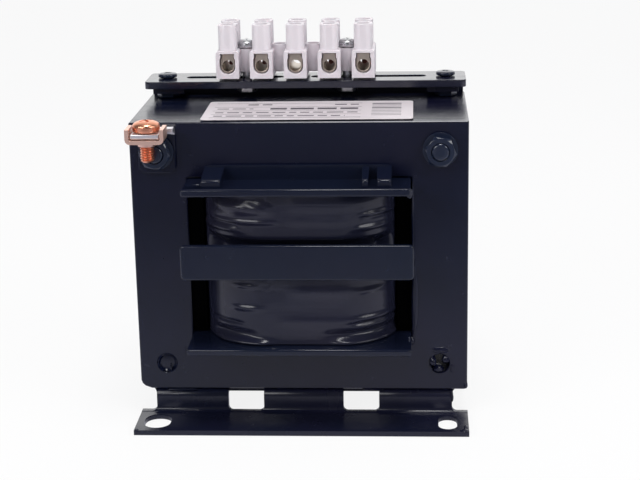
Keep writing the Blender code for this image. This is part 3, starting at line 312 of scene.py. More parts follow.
def finished(shape, name, narrow=0.0014, sharp=35):
    """The shape as an object. Its wide faces stay flat, and the narrow ones of a rounded edge are shaded round."""
    for face in shape.faces:
        thin = face.calc_area() / max(edge.calc_length() for edge in face.edges) < narrow
        face.smooth = thin and (narrow > 0.01 or max(abs(c) for c in face.normal) < 0.99999)
    for edge in shape.edges:
        edge.smooth = len(edge.link_faces) == 2 and edge.calc_face_angle(0) < math.radians(sharp)
    mesh = bpy.data.meshes.new(name)
    shape.to_mesh(mesh)
    shape.free()
    piece = bpy.data.objects.new(name, mesh)
    bpy.context.scene.collection.objects.link(piece)
    return piece


def placed(piece, material, slot, *replaced):
    """The piece in its material, on the part's one body, in place of the nodes that it replaces."""
    piece.data.materials.clear()
    piece.data.materials.append(material)
    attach(piece, "root")
    if replaced:
        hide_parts(*replaced)
    return piece


def rounded_edges(shape, width, segments=2, sharp=32):
    """Every edge that is sharper than an angle, rounded as far as its neighbours leave room."""
    corners = [e for e in shape.edges if len(e.link_faces) == 2 and e.calc_face_angle(0) > math.radians(sharp)]
    bmesh.ops.bevel(
        shape, geom=corners, offset=width, offset_type="OFFSET", segments=segments, profile=0.5, affect="EDGES",
        clamp_overlap=True, material=-1, loop_slide=False,
    )


def stamped(shape, outlines, front, depth):
    """A plate seen from the front: the first outline is its edge and the others are its holes, in x and z."""
    edges = []
    for outline in outlines:
        corners = [shape.verts.new((x, front, z)) for x, z in outline]
        edges += [shape.edges.new(pair) for pair in zip(corners, corners[1:] + corners[:1])]
    bmesh.ops.triangle_fill(shape, use_beauty=True, use_dissolve=False, edges=edges, normal=(0, -1, 0))
    thick = bmesh.ops.extrude_face_region(shape, geom=shape.faces[:])
    bmesh.ops.translate(shape, vec=(0, depth, 0), verts=[v for v in thick["geom"] if isinstance(v, bmesh.types.BMVert)])
    bmesh.ops.recalc_face_normals(shape, faces=shape.faces)


def round_hole(x, z, across, sides=40):
    """The outline of a round hole for a stamped plate."""
    return [(x + across / 2 * math.cos(2 * math.pi * i / sides), z + across / 2 * math.sin(2 * math.pi * i / sides))
            for i in range(sides)]


core_low, core_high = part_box("core_i_laminations")[0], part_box("core_e_laminations")[1]
core_lacquer = lacquer("core_lacquer", runs=0.09, gloss=0.13, sheets=0.14, dull_top=0.04)
half_width, core_foot, core_top = 0.048, 0.0086, 0.0886
window_inner, window_outer, window_foot, window_top = 0.016, 0.032, 0.0246, 0.0726
hole_x, hole_low, hole_high, hole_across = 0.04, 0.0166, 0.0806, 0.0056
core = bmesh.new()
worn_corner = [(-half_width, 0.0112), (-0.04765, 0.0101), (-0.0468, 0.0093), (-0.0458, 0.00895), (-0.0449, core_foot)]
stamped(
    core,
    [worn_corner + [(0.0474, core_foot), (half_width, 0.0091), (half_width, core_top), (-half_width, core_top)]]
    + [[(side * window_inner, window_foot), (side * window_outer, window_foot),
        (side * window_outer, window_top), (side * window_inner, window_top)] for side in (-1, 1)]
    + [round_hole(side * hole_x, z, hole_across) for side in (-1, 1) for z in (hole_low, hole_high)],
    core_low[1], core_high[1] - core_low[1],
)
rounded_edges(core, 0.00045, 1)
placed(finished(core, "core_skin"), core_lacquer, "core", "core_e_laminations", "core_i_laminations")


# The dipping lacquer ran down and set in drops on the core's edges and in corners. It stands level in the free hole
# at the left and in lumps in the one at the right. A row is x, how far the drop's middle lies behind the front face,
# z, and half its size along each axis.
def drop(name, place, size, seed, lumps=0.25, material=core_lacquer, slot="core"):
    """A round drop, made lumpy by noise that differs with its seed."""
    shape = bmesh.new()
    bmesh.ops.create_icosphere(shape, subdivisions=4, radius=1)
    for vert in shape.verts:
        bulge = 1 + lumps * noise.noise(vert.co * 1.3 + Vector((seed * 3.1, 0, 0)))
        vert.co = Vector(place) + Vector(c * s * bulge for c, s in zip(vert.co, size))
    return placed(finished(shape, name, narrow=1), material, slot)


def turned(name, profile, centre, axis="Z", steps=40, narrow=1.0, sharp=35):
    """A turned shape: the profile is given as radius and height, from the axis outwards and back to it."""
    shape = bmesh.new()
    points = [shape.verts.new((radius, 0, height)) for radius, height in profile]
    edges = [shape.edges.new(pair) for pair in zip(points, points[1:])]
    bmesh.ops.spin(shape, geom=points + edges, cent=(0, 0, 0), axis=(0, 0, 1), dvec=(0, 0, 0),
                   angle=2 * math.pi, steps=steps, use_merge=True, use_duplicate=False)
    bmesh.ops.remove_doubles(shape, verts=shape.verts, dist=0.000002)
    bmesh.ops.recalc_face_normals(shape, faces=shape.faces)
    turn = Matrix.Rotation(math.pi / 2, 4, "X") if axis == "-Y" else Matrix.Identity(4)
    bmesh.ops.transform(shape, matrix=Matrix.Translation(centre) @ turn, verts=shape.verts)
    return finished(shape, name, narrow, sharp)


front = core_low[1]
placed(
    turned("hole_fill_left", [(0, -0.0022), (0.0027, -0.0022), (0.0029, -0.0002), (0.0026, 0.00005), (0.0023, -0.0004),
                              (0.002, -0.00065), (0.0012, -0.0005), (0, -0.0004)], (-hole_x, front, hole_low), "-Y"),
    core_lacquer, "core",
)
for number, (x, y, z, size) in enumerate((
    (-0.0389, 0.0, 0.0152, (0.0003, 0.0003, 0.0009)), (0.0379, 0.0008, 0.0172, (0.0011, 0.002, 0.0016)),
    (0.0396, 0.0012, 0.0148, (0.0016, 0.0018, 0.0011)), (0.0417, 0.001, 0.0178, (0.0012, 0.0018, 0.0012)),
    (0.0402, 0.0001, 0.0207, (0.003, 0.0004, 0.0009)), (0.0437, 0.0001, 0.0152, (0.0006, 0.0004, 0.0016)),
    (-0.0345, 0.0001, 0.0206, (0.0004, 0.0004, 0.0012)), (0.0316, 0.0001, 0.0236, (0.0012, 0.0009, 0.0012)),
    (0.0475, 0.0004, 0.0099, (0.0006, 0.0007, 0.0012)), (-0.0412, 0.0001, 0.0874, (0.0025, 0.0004, 0.0007)),
    (0.0469, -0.0142, 0.0014, (0.0012, 0.0011, 0.0005)), (0.0474, -0.0118, 0.0014, (0.0007, 0.0014, 0.0005)),
    (-0.0474, -0.0149, 0.0012, (0.0007, 0.0005, 0.0006)), (0.0436, 0.0002, 0.0062, (0.0004, 0.0004, 0.0017)),
    (-0.0362, 0.0006, 0.0081, (0.0045, 0.0006, 0.0005)), (0.0205, 0.0006, 0.0081, (0.003, 0.0006, 0.0004)),
    (0.0328, 0.0, 0.0362, (0.0009, 0.0007, 0.0114)), (0.0323, 0.0, 0.0602, (0.0004, 0.0005, 0.0105)),
)):
    drop(f"core_drop_{number}", (x, front + y, z), size, number)


# The base is one folded sheet under the core, with a slotted foot at the front and at the back. The core stands
# in it on two legs, and the lacquer has gathered along the folds and around the slots.
# The sheet's lacquer is painted a little lighter than the core's, a painted highlight for the soft light on the base's
# legs.
painted_light_sheet_lacquer = lacquer("painted_light_sheet_lacquer", colour=(0.0055, 0.0075, 0.021), tint=(0.008, 0.0085, 0.0225),
                        runs=0.24, gloss=0.2, specular=0.42)


def merged(node):
    """A node's shape with its corners joined and its flat faces whole."""
    shape = bmesh.new()
    shape.from_mesh(nodes[node].data)
    bmesh.ops.remove_doubles(shape, verts=shape.verts, dist=0.000002)
    bmesh.ops.dissolve_limit(
        shape, angle_limit=math.radians(0.6), verts=shape.verts, edges=shape.edges, use_dissolve_boundaries=False,
    )
    return shape


def softened(node, name, width, segments=2, sharp=32):
    """A copy of a node with the lacquer's roundness on its edges."""
    shape = merged(node)
    rounded_edges(shape, width, segments, sharp)
    return finished(shape, name)


fold_y, fold_reach = 0.0222, 0.0012
base = softened("base_bracket", "base", 0.0003)
for face in base.data.polygons:
    if 0.0012 < face.center.z < 0.0082 and abs(abs(face.center.y) - fold_y) < fold_reach:
        face.use_smooth = True
placed(base, painted_light_sheet_lacquer, "sheet", "base_bracket")


# The former is a moulding of glass-filled plastic: a square tube through the core's windows with three flanges
# around it. Its lips and blocks guide the leads, and the lacquer hangs in beads on its corners.
former_lacquer = lacquer("former_lacquer", colour=(0.0055, 0.0088, 0.0215), tint=(0.006, 0.0082, 0.021), runs=0.3,
                         gloss=0.1, specular=0.45)


def well_rounded(shape, edges, width):
    """Edges rounded in four steps, with what the rounding flattens taken out."""
    bmesh.ops.bevel(shape, geom=edges, offset=width, offset_type="OFFSET", segments=4, profile=0.5, affect="EDGES",
                    clamp_overlap=False, material=-1, loop_slide=False)
    bmesh.ops.dissolve_degenerate(shape, dist=0.00001, edges=shape.edges[:])


def sharp_edges(shape, keep):
    return [e for e in shape.edges if all(keep(v.co) for v in e.verts) and e.calc_face_angle(0) > 0.5]


flange_top, wall_y = 0.0731, -0.0245
former = merged("coil_former")
well_rounded(former, sharp_edges(former, lambda at: at.z > flange_top and at.y < wall_y), 0.0007)
front_y = min(v.co.y for v in former.verts)
well_rounded(former, sharp_edges(former, lambda at: at.y < front_y + 0.0006), 0.00055)
rounded_edges(former, 0.0003, 2, 40)
bmesh.ops.dissolve_degenerate(former, dist=0.000001, edges=former.edges[:])
for vert in former.verts:
    vert.co.y = max(vert.co.y, front_y)
placed(finished(former, "former"), former_lacquer, "former", "coil_former")
for number, (x, y, z, size) in enumerate((
    (0.0313, -0.0365, 0.0714, (0.001, 0.0009, 0.0013)), (-0.0311, -0.0365, 0.0717, (0.0006, 0.0009, 0.0011)),
    (-0.0285, -0.0316, 0.0727, (0.0021, 0.0012, 0.0005)), (0.0311, -0.0369, 0.0249, (0.0008, 0.0008, 0.0009)),
    (-0.0308, -0.0367, 0.0249, (0.0007, 0.0008, 0.0008)), (0.0312, -0.037, 0.0293, (0.0003, 0.0004, 0.0008)),
)):
    drop(f"former_drop_{number}", (x, y, z), size, number + 20, 0.3, former_lacquer, "former")


# Around each winding goes glossy insulating tape in many turns. It is soft, so its turns have slid over each
# other into long folds, its lower edge curls out, and the lacquer has sealed all of it.
tape_gloss = lacquer("tape_gloss", colour=(0.0115, 0.013, 0.0275), tint=(0.016, 0.0158, 0.031), runs=0.06, peel=0.3,
                     gloss=0.17, specular=0.42)


def clamped(share):
    return min(1, max(0, share))


def eased(share):
    """From nothing to one, level at both ends."""
    return share * share * (3 - 2 * share)


def tape_wrap(name, node, folds, curl, pinch, below, seed, rows):
    """A tube of tape around a winding. A fold is its height, its two ends in x, how far out it goes and how wide it is.

    The lower edge curls out by curl, and the front and the back are drawn in by pinch below a height.
    """
    low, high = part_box(node)
    corner, wide_x = 0.0195, 0.0285
    flat_x, flat_y = wide_x - corner, high[1] - corner
    slack, ripple, grain = 0.00035, 0.00009, 0.00002
    fade = 0.0065
    shape = bmesh.new()
    bmesh.ops.create_grid(shape, x_segments=1, y_segments=1, size=1)
    bmesh.ops.scale(shape, vec=(wide_x, high[1], 1), verts=shape.verts)
    bmesh.ops.translate(shape, vec=(0, 0, low[2]), verts=shape.verts)
    bmesh.ops.bevel(shape, geom=shape.verts[:], offset=corner, offset_type="OFFSET", segments=36, profile=0.5,
                    affect="VERTICES", clamp_overlap=False, material=-1)
    bmesh.ops.delete(shape, geom=shape.faces[:], context="FACES_ONLY")
    straight = [e for e in shape.edges if e.calc_length() > 0.005]
    bmesh.ops.subdivide_edges(shape, edges=straight, cuts=24)
    edges = shape.edges[:]
    step = (high[2] - low[2]) / rows
    for _ in range(rows):
        grown = bmesh.ops.extrude_edge_only(shape, edges=edges)["geom"]
        bmesh.ops.translate(shape, vec=(0, 0, step), verts=[g for g in grown if isinstance(g, bmesh.types.BMVert)])
        edges = [g for g in grown if isinstance(g, bmesh.types.BMEdge)
                 and abs(g.verts[0].co.z - g.verts[1].co.z) < 1e-7]
    bmesh.ops.recalc_face_normals(shape, faces=shape.faces)
    for vert in shape.verts:
        x, y, z = vert.co
        core_point = Vector((max(-flat_x, min(flat_x, x)), max(-flat_y, min(flat_y, y)), z))
        out = (vert.co - core_point).normalized()
        along = x if y < 0 else -x + 0.007
        wave = noise.noise(Vector((x * 30, y * 30, z * 330 + seed * 7.7)))
        push = -slack + ripple * wave + grain * noise.noise(Vector((x * 120, y * 120, z * 1200 + seed)))
        for height, start, end, far, wide in folds:
            inside = clamped((along - start) / fade) * clamped((end - along) / fade)
            push += far * eased(inside) * math.exp(-(((z - height) / wide) ** 2))
        # Fine crinkles stand upright in the bright patch near the upper edge.
        if z > high[2] - 0.0045 and -0.018 < along < -0.007 and y < 0:
            push += ripple * math.sin(along * 6500 + 4 * wave) * min(1, (high[2] - z) / 0.0015)
        middle = math.exp(-((x / 0.021) ** 4))
        push += curl * middle * math.exp(-(((z - low[2]) / 0.0008) ** 2))
        push -= pinch * eased(clamped((below + 0.0014 - z) / 0.005)) * clamped((abs(y) - 0.0215) / 0.003)
        vert.co = vert.co + out * push
    tube = finished(shape, name, narrow=1, sharp=80)
    wall = tube.modifiers.new("tape thickness", "SOLIDIFY")
    wall.thickness = 0.0002
    wall.offset = -1
    wall.use_rim = True
    return placed(tube, tape_gloss, "tape", node)


tape_wrap("tape_upper", "primary_wrap", (
    (0.0660, -0.027, -0.005, 0.0010, 0.0019), (0.0622, -0.028, -0.003, 0.0005, 0.0007),
    (0.0613, -0.030, -0.015, -0.0004, 0.0004), (0.0597, -0.030, -0.014, 0.0006, 0.0008),
    (0.0693, -0.032, -0.016, -0.0008, 0.0012), (0.0671, -0.006, 0.024, 0.0005, 0.0020),
    (0.0625, -0.006, 0.020, 0.0003, 0.0014), (0.0638, 0.0145, 0.030, 0.0006, 0.0007),
    (0.0627, 0.018, 0.032, -0.0004, 0.0004), (0.0600, 0.013, 0.030, 0.0006, 0.0008),
    (0.0700, 0.010, 0.032, -0.0008, 0.0012),
), curl=0.0, pinch=0.0044, below=0.0566, seed=3, rows=90)
tape_wrap("tape_lower", "secondary_wrap", (
    (0.0433, -0.022, -0.009, 0.0004, 0.0007), (0.0368, -0.022, -0.008, 0.0005, 0.0008),
    (0.0419, -0.005, 0.019, 0.0006, 0.0016), (0.0330, -0.008, 0.020, 0.0004, 0.0014),
    (0.0415, 0.013, 0.027, 0.0005, 0.0009), (0.0333, 0.0135, 0.031, 0.0006, 0.0009),
    (0.0319, 0.012, 0.032, -0.0006, 0.0005), (0.0322, -0.030, -0.014, -0.0005, 0.0005),
    (0.0290, -0.028, -0.010, -0.0008, 0.0011), (0.0268, -0.027, -0.005, 0.0012, 0.0009),
    (0.0290, 0.005, 0.031, -0.0009, 0.0012), (0.0267, 0.008, 0.030, 0.0012, 0.0009),
), curl=0.0003, pinch=0.0, below=0.0, seed=11, rows=82)


# Near-black sheets stand in the slits between the coil and the outer legs, one beside each chamber. They are painted
# shade: dull and near black, so that the slits render dark and no light shows through them.
# The shade cards' lacquer is near black and hardly glossy, painted shade for the slits.
shade_card_black = lacquer("shade_card_lacquer", colour=(0.0004, 0.0004, 0.0006), tint=(0.0005, 0.0005, 0.0007), runs=0.2,
                     gloss=0.7, specular=0.01)
shade_card_thick, shade_card_deep, shade_card_x = 0.0044, 0.0425, 0.02983
for side, hand in ((-1, "left"), (1, "right")):
    for height, (bottom, top) in (("low", (0.0264, 0.0466)), ("high", (0.0485, 0.0708))):
        shade_card = bmesh.new()
        bmesh.ops.create_cube(shade_card, size=1)
        bmesh.ops.scale(shade_card, vec=(shade_card_thick, shade_card_deep, top - bottom), verts=shade_card.verts)
        bmesh.ops.translate(shade_card, vec=(side * shade_card_x, 0, (bottom + top) / 2), verts=shade_card.verts)
        rounded_edges(shade_card, 0.0002)
        placed(finished(shade_card, f"card_{height}_{hand}"), shade_card_black, "former")


# Under the tape the windings are enamelled copper wire. They are drawn inwards here past the coil's flat middle,
# and the upper one starts higher, so that no copper shows where the tape is drawn in.
enamel = lacquer("wire_enamel", colour=(0.3, 0.1, 0.03), tint=(0.35, 0.13, 0.04), gloss=0.25, specular=0.5)
drawn_from, upper_start = 0.0185, 0.0592
for node in ("primary_winding", "secondary_winding"):
    wound = softened(node, node.replace("winding", "turns"), 0.0002)
    for vert in wound.data.vertices:
        for axis, share in ((0, 0.5), (1, 0.23)):
            beyond = max(0, abs(vert.co[axis]) - drawn_from)
            vert.co[axis] -= math.copysign(share * beyond, vert.co[axis])
        if node == "primary_winding":
            vert.co.z = max(vert.co.z, upper_start)
    placed(wound, enamel, "winding", node)


# The carrier is a slotted strip for the terminal block, folded from 2.2 mm sheet, and a bracket behind the core
# that holds it. Both carry the same lacquer, with a mirror gloss on the strip's flat top.
strip_lacquer = lacquer("strip_lacquer", runs=0.08, peel=0.3, gloss=0.12, specular=0.8)
placed(softened("carrier_strip", "strip", 0.00035, 3), strip_lacquer, "sheet", "carrier_strip")
# The bracket takes the base's lacquer, which is painted lighter than the core's.
placed(softened("carrier_bracket", "strip_bracket", 0.0003), painted_light_sheet_lacquer, "sheet", "carrier_bracket")


# The terminal block is moulded of natural polyamide, milky white, which lets some light through its thin walls.
# Its gloss is soft, and dust and the mould's texture dull it a little.
def dusty(name, colour, shade, roughness, scale, depth):
    """A plastic or paper surface: its colour clouded towards a shade, with a fine grain."""
    material = bpy.data.materials.new(name)
    material.use_nodes = True
    tree = material.node_tree
    shader = tree.nodes["Principled BSDF"]
    where = tree.nodes.new("ShaderNodeTexCoord")
    clouds, grain = (tree.nodes.new("ShaderNodeTexNoise") for _ in range(2))
    for texture, size, detail in ((clouds, scale * 0.1, 4), (grain, scale, 3)):
        texture.inputs["Scale"].default_value = size
        texture.inputs["Detail"].default_value = detail
        tree.links.new(where.outputs["Object"], texture.inputs["Vector"])
    blend = tree.nodes.new("ShaderNodeMix")
    blend.data_type = "RGBA"
    tree.links.new(clouds.outputs["Fac"], blend.inputs["Factor"])
    blend.inputs["A"].default_value = (*colour, 1)
    blend.inputs["B"].default_value = (*shade, 1)
    tree.links.new(blend.outputs["Result"], shader.inputs["Base Color"])
    spread = tree.nodes.new("ShaderNodeMapRange")
    spread.inputs["To Min"].default_value = roughness - 0.08
    spread.inputs["To Max"].default_value = roughness + 0.1
    tree.links.new(grain.outputs["Fac"], spread.inputs["Value"])
    tree.links.new(spread.outputs["Result"], shader.inputs["Roughness"])
    bump = tree.nodes.new("ShaderNodeBump")
    bump.inputs["Strength"].default_value = 0.3
    bump.inputs["Distance"].default_value = depth
    tree.links.new(grain.outputs["Fac"], bump.inputs["Height"])
    tree.links.new(bump.outputs["Normal"], shader.inputs["Normal"])
    return material, shader


block_white, shader = dusty("block_polyamide", (0.75, 0.705, 0.74), (0.68, 0.63, 0.67), 0.4, 700, 0.00004)
shader.inputs["Subsurface Weight"].default_value = 0.3
shader.inputs["Subsurface Radius"].default_value = (1, 0.85, 0.85)
shader.inputs["Subsurface Scale"].default_value = 0.0012
placed(softened("terminal_block", "block", 0.00025, 3), block_white, "block", "terminal_block")


# In each pole of the block lies a clamp of drawn brass with a dull nickel plate. Two zinc-plated screws go down
# into it through the towers and hold the wires.
def metal(name, colour, stain, roughness, scale=900, depth=0.00003):
    """A bare or plated metal with clouds of tarnish and a fine drawn grain."""
    material, shader = dusty(name, colour, stain, roughness, scale, depth)
    shader.inputs["Metallic"].default_value = 1
    return material


clamp_metal = metal("clamp_nickel", (0.68, 0.6, 0.51), (0.5, 0.43, 0.36), 0.38)
zinc = metal("screw_zinc", (0.66, 0.67, 0.68), (0.5, 0.51, 0.53), 0.28)
for number in range(1, 6):
    placed(softened(f"terminal_clamp_{number}", f"clamp_{number}", 0.00018), clamp_metal, "clamp",
           f"terminal_clamp_{number}")
    for end in ("front", "rear"):
        node = f"clamp_screw_{end}_{number}"
        placed(softened(node, f"grub_{end}_{number}", 0.00015), zinc, "zinc", node)


# Each block screw is a small zinc-plated pan head with a cross recess, and draws the block down on the strip
# against a nut below.
def carved(piece, cutters, operation="DIFFERENCE"):
    """The piece with the cutters taken out of it, or kept only where it is inside them."""
    for cutter in cutters:
        carve = piece.modifiers.new("carve", "BOOLEAN")
        carve.operation = operation
        carve.solver = "EXACT"
        carve.object = cutter
    result = bpy.data.meshes.new_from_object(piece.evaluated_get(bpy.context.evaluated_depsgraph_get()))
    piece.modifiers.clear()
    piece.data = result
    for cutter in cutters:
        bpy.data.objects.remove(cutter)
    return piece


def cross_recess(centre, across, wide, depth, turned_by):
    """Two tapered bars, which cut a cross recess down into a screw's head."""
    bars = []
    for angle in (turned_by, turned_by + 90):
        shape = bmesh.new()
        bmesh.ops.create_cube(shape, size=1)
        for vert in shape.verts:
            taper = 0.45 if vert.co.z < 0 else 1
            vert.co = Vector((vert.co.x * across * taper, vert.co.y * wide * taper, vert.co.z * 2 * depth))
        bmesh.ops.transform(
            shape, matrix=Matrix.Translation(centre) @ Matrix.Rotation(math.radians(angle), 4, "Z"), verts=shape.verts,
        )
        bars.append(finished(shape, "recess_bar"))
    return bars


def pan_profile(radius, rim, height, crown=6):
    """From the middle of a pan head's top down its side and back to the middle of its underside."""
    points = [(0, height)]
    for i in range(1, crown + 1):
        angle = math.pi / 2 * i / crown
        points.append((radius * math.sin(angle) ** 0.85, rim + (height - rim) * math.cos(angle)))
    return points + [(radius, 0.0001), (radius - 0.0001, 0), (0, 0)]


def small_screw(node, profile, height, recess, turned_by, material, slot):
    """A pan head with a cross recess and the shank under it, in place of a node."""
    low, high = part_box(node)
    x, y = ((low[i] + high[i]) / 2 for i in (0, 1))
    seat = high[2] - height
    head = turned(f"{node}_head", profile, (x, y, seat), sharp=50)
    carved(head, cross_recess((x, y, high[2]), *recess, turned_by))
    placed(head, material, slot, node)
    radius, length = 0.0015, seat - low[2] + 0.0002
    shank = [(0, 0), (radius - 0.0003, 0), (radius, 0.0003), (radius, length), (0, length)]
    placed(turned(f"{node}_shank", shank, (x, y, low[2]), steps=24), material, slot)


for side in ("left", "right"):
    small_screw(f"block_screw_{side}", pan_profile(0.0027, 0.0009, 0.0024), 0.0024, (0.003, 0.0006, 0.0011), 20,
                zinc, "zinc")
    placed(softened(f"block_nut_{side}", f"block_nut_body_{side}", 0.0002), zinc, "zinc", f"block_nut_{side}")


# Steel bolts go through the core from the back and carry washers and hexagon nuts at the front. They were fitted
# before the dip, so the lacquer covers them too and rounds their corners.
# Their lacquer is painted lighter and bluer than the core's, which stands in for the blue highlight on the nuts.
painted_highlight_fastener_lacquer = lacquer("painted_highlight_fastener_lacquer", colour=(0.008, 0.0145, 0.034), tint=(0.009, 0.013, 0.031),
                           runs=0.12, gloss=0.12, specular=0.6)


def hexagon_nut(name, centre, flats, height, hole, turn):
    """A hexagon bar with a hole, cut back to a cone at its outer face."""
    shape = bmesh.new()
    corner = flats / math.sqrt(3)
    outline = [(corner * math.cos(math.radians(turn + 60 * i)), corner * math.sin(math.radians(turn + 60 * i)))
               for i in range(6)]
    stamped(shape, [outline, round_hole(0, 0, hole, 32)], 0, -height)
    bmesh.ops.translate(shape, vec=centre, verts=shape.verts)
    piece = finished(shape, name)
    cone = turned(f"{name}_cone", [(0, -0.001), (corner + 0.0006, -0.001), (corner + 0.0006, height - 0.0010),
                                   (flats / 2 - 0.0002, height), (0, height)], centre, "-Y", 48)
    carved(piece, [cone], "INTERSECT")
    shape = bmesh.new()
    shape.from_mesh(piece.data)
    bmesh.ops.remove_doubles(shape, verts=shape.verts, dist=0.00001)
    rounded_edges(shape, 0.00016, 2, 22)
    bpy.data.objects.remove(piece)
    return finished(shape, name, 0.0006)


for side in ("left", "right"):
    node = f"core_nut_{side}"
    low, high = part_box(node)
    x, z = ((low[i] + high[i]) / 2 for i in (0, 2))
    placed(hexagon_nut(f"nut_{side}", (x, high[1], z), 0.008, high[1] - low[1], 0.0053, -9), painted_highlight_fastener_lacquer,
           "fastener", node)
    node = f"core_bolt_{side}"
    tip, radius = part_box(node)[0][1], 0.0025
    placed(turned(f"bolt_{side}_end", [
        (0, -0.003), (radius, -0.003), (radius, -0.0005), (radius - 0.0003, -0.00015), (radius - 0.0008, 0),
        (0.0015, -0.00005), (0.0013, -0.0003), (0.0009, -0.00055), (0, -0.0006),
    ], (x, tip, z), "-Y", sharp=60), painted_highlight_fastener_lacquer, "fastener")
    placed(softened(node, f"bolt_{side}", 0.0006, 3), painted_highlight_fastener_lacquer, "fastener", node)
    for node in (f"front_washer_{side}", f"rear_washer_{side}"):
        placed(softened(node, f"{node}_body", 0.0003, 3), painted_highlight_fastener_lacquer, "fastener", node)
    small_screw(f"carrier_screw_{side}", pan_profile(0.00285, 0.0008, 0.0012), 0.0012, (0.0032, 0.0007, 0.0006), 35,
                painted_highlight_fastener_lacquer, "fastener")
    node = f"carrier_nut_{side}"
    placed(softened(node, f"{node}_body", 0.0003, 3), painted_highlight_fastener_lacquer, "fastener", node)


# The earth terminal: a lacquered plate under the left nut turns forward to a tongue that was masked in the dip,
# so it is bare tinned steel. On it a copper strap bends up at both sides, held by a copper pan head screw.
earth_sheet = lacquer("earth_sheet", runs=0.2, gloss=0.12, specular=0.4)
mask_line = (0.0863, 0.0865)
tree = earth_sheet.node_tree
shader = tree.nodes["Principled BSDF"]
where = tree.nodes.new("ShaderNodeTexCoord")
split = tree.nodes.new("ShaderNodeSeparateXYZ")
tree.links.new(where.outputs["Object"], split.inputs[0])
ragged = tree.nodes.new("ShaderNodeTexNoise")
ragged.inputs["Scale"].default_value = 500
tree.links.new(where.outputs["Object"], ragged.inputs["Vector"])
shifted = tree.nodes.new("ShaderNodeMath")
shifted.operation = "MULTIPLY_ADD"
shifted.inputs[1].default_value = 0.0016
tree.links.new(ragged.outputs["Fac"], shifted.inputs[0])
tree.links.new(split.outputs["Z"], shifted.inputs[2])
bare = tree.nodes.new("ShaderNodeMapRange")
for socket, value in zip(("From Min", "From Max"), mask_line):
    bare.inputs[socket].default_value = value
tree.links.new(shifted.outputs[0], bare.inputs["Value"])
for socket, tin in (("Base Color", (0.92, 0.9, 0.93, 1)), ("Roughness", 0.4), ("Metallic", 1.0)):
    mixed = tree.nodes.new("ShaderNodeMix")
    mixed.data_type = "RGBA" if socket == "Base Color" else "FLOAT"
    covered = shader.inputs[socket].links[0].from_socket if shader.inputs[socket].is_linked else None
    first, second = (s for s in mixed.inputs if s.name in "AB" and s.enabled)
    if covered:
        tree.links.new(covered, first)
    else:
        first.default_value = 0.0
    second.default_value = tin
    tree.links.new(bare.outputs["Result"], mixed.inputs["Factor"])
    tree.links.new(next(s for s in mixed.outputs if s.enabled), shader.inputs[socket])
placed(softened("earth_bracket", "earth_plate", 0.00025), earth_sheet, "sheet", "earth_bracket")
copper = metal("earth_copper", (0.96, 0.48, 0.32), (0.88, 0.35, 0.21), 0.3, 700, 0.00003)
strap_copper = metal("strap_copper", (1.0, 0.74, 0.64), (0.97, 0.62, 0.5), 0.46, 700, 0.00003)
placed(softened("earth_clamp", "earth_strap", 0.00025, 3), strap_copper, "copper", "earth_clamp")
low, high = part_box("earth_screw")
x, y = ((low[i] + high[i]) / 2 for i in (0, 1))
seat = high[2] - 0.003
head = turned("earth_head", pan_profile(0.00385, 0.0014, 0.003, 8), (x, y, seat), steps=56, sharp=50)
carved(head, cross_recess((x, y, high[2]), 0.0052, 0.0011, 0.0016, 28))
placed(head, copper, "copper", "earth_screw")

thread = bmesh.new()
pitch, root, crest, per_turn = 0.0007, 0.00158, 0.00198, 24
turns = math.ceil((seat - low[2]) / pitch) + 2
ridge = [thread.verts.new((radius, 0, height)) for radius, height in
         ((root, 0), (crest, 0.00028), (crest, 0.0004), (root, pitch))]
edges = [thread.edges.new(pair) for pair in zip(ridge, ridge[1:])]
bmesh.ops.spin(thread, geom=ridge + edges, cent=(0, 0, 0), axis=(0, 0, 1), dvec=(0, 0, pitch / per_turn),
               angle=2 * math.pi * turns, steps=per_turn * turns, use_merge=False, use_duplicate=False)
bmesh.ops.remove_doubles(thread, verts=thread.verts, dist=0.00002)
bmesh.ops.translate(thread, vec=(x, y, low[2] - 1.5 * pitch), verts=thread.verts)
for place, normal in ((low[2], -1), (seat + 0.0002, 1)):
    cut = bmesh.ops.bisect_plane(thread, geom=thread.verts[:] + thread.edges[:] + thread.faces[:], dist=1e-7,
                                 plane_co=(0, 0, place), plane_no=(0, 0, normal), clear_outer=True)
    rim = [g for g in cut["geom_cut"] if isinstance(g, bmesh.types.BMEdge)]
    bmesh.ops.contextual_create(thread, geom=rim)
for vert in thread.verts:
    away = Vector((vert.co.x - x, vert.co.y - y))
    most = 0.0014 + max(0, vert.co.z - low[2])
    if away.length > most:
        vert.co.x, vert.co.y = x + away.x * most / away.length, y + away.y * most / away.length
bmesh.ops.recalc_face_normals(thread, faces=thread.faces)
placed(finished(thread, "earth_thread", narrow=0), copper, "copper")


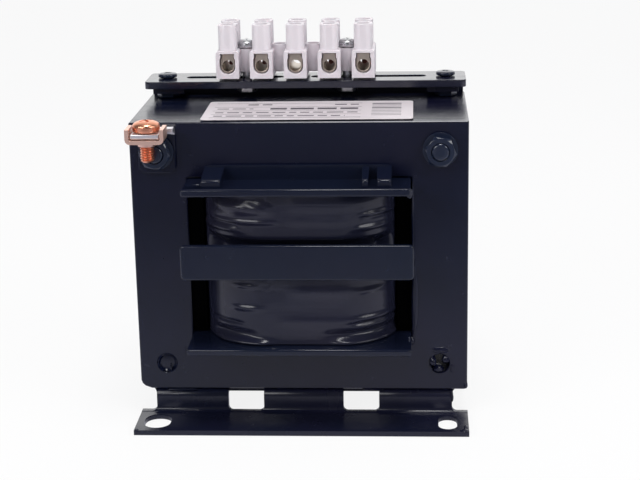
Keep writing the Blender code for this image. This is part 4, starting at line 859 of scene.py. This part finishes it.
# Sleeved leads go up the back from the coil's chambers into the rear of the block, where its clamps hold them. The
# sleeve is woven glass silk, faded red.
sleeve, _ = dusty("lead_sleeve", (0.42, 0.16, 0.14), (0.3, 0.1, 0.09), 0.6, 1500, 0.0001)
for node in ("lead_primary_start", "lead_primary_end", "lead_secondary_start", "lead_secondary_end"):
    nodes[node].data.materials.clear()
    nodes[node].data.materials.append(sleeve)


# The rating label is paper under a clear film, stuck on the core's top. A ruled form is printed on it in grey, with
# bars of different lengths for its entries.
label_paper, _ = dusty("label_paper", (0.72, 0.66, 0.69), (0.66, 0.6, 0.63), 0.42, 500, 0.00002)
placed(softened("rating_label", "label", 0.00008), label_paper, "label", "rating_label")
ink, _ = dusty("label_ink", (0.06, 0.055, 0.07), (0.16, 0.14, 0.16), 0.5, 900, 0.00001)
label_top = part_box("rating_label")[1][2]
printed = bmesh.new()
random.seed(5)


def rule(left, right, y, wide):
    """A printed bar on the label, from one x to the other."""
    bar = bmesh.ops.create_cube(printed, size=1)["verts"]
    bmesh.ops.scale(printed, vec=(right - left, wide, 0.00004), verts=bar)
    bmesh.ops.translate(printed, vec=((left + right) / 2, y, label_top), verts=bar)


for y, wide in ((0.0022, 0.0002), (-0.0032, 0.0002), (-0.0086, 0.0002), (-0.0138, 0.0002), (-0.0184, 0.0003)):
    rule(-0.0255, 0.0175, y, wide)
for y, start, end, wide, longest in (
    (0.0002, -0.016, -0.009, 0.0013, 0.004), (0.0002, 0.0095, 0.0165, 0.0013, 0.004),
    (-0.0058, -0.0245, -0.014, 0.0009, 0.004), (-0.0058, -0.009, 0.0165, 0.0024, 0.007),
    (-0.0112, -0.0245, 0.0165, 0.0011, 0.005), (-0.0161, -0.0245, 0.013, 0.0011, 0.005),
):
    x = start
    while x < end:
        length = min(end - x, random.uniform(0.4, 1) * longest)
        rule(x, x + length, y, wide)
        x += length + 0.0011
for i in range(9):
    rule(0.0205, 0.029, 0.0012 - 0.0021 * i, 0.0012 if i in (0, 3) else 0.0005)
placed(finished(printed, "label_print"), ink, "label")
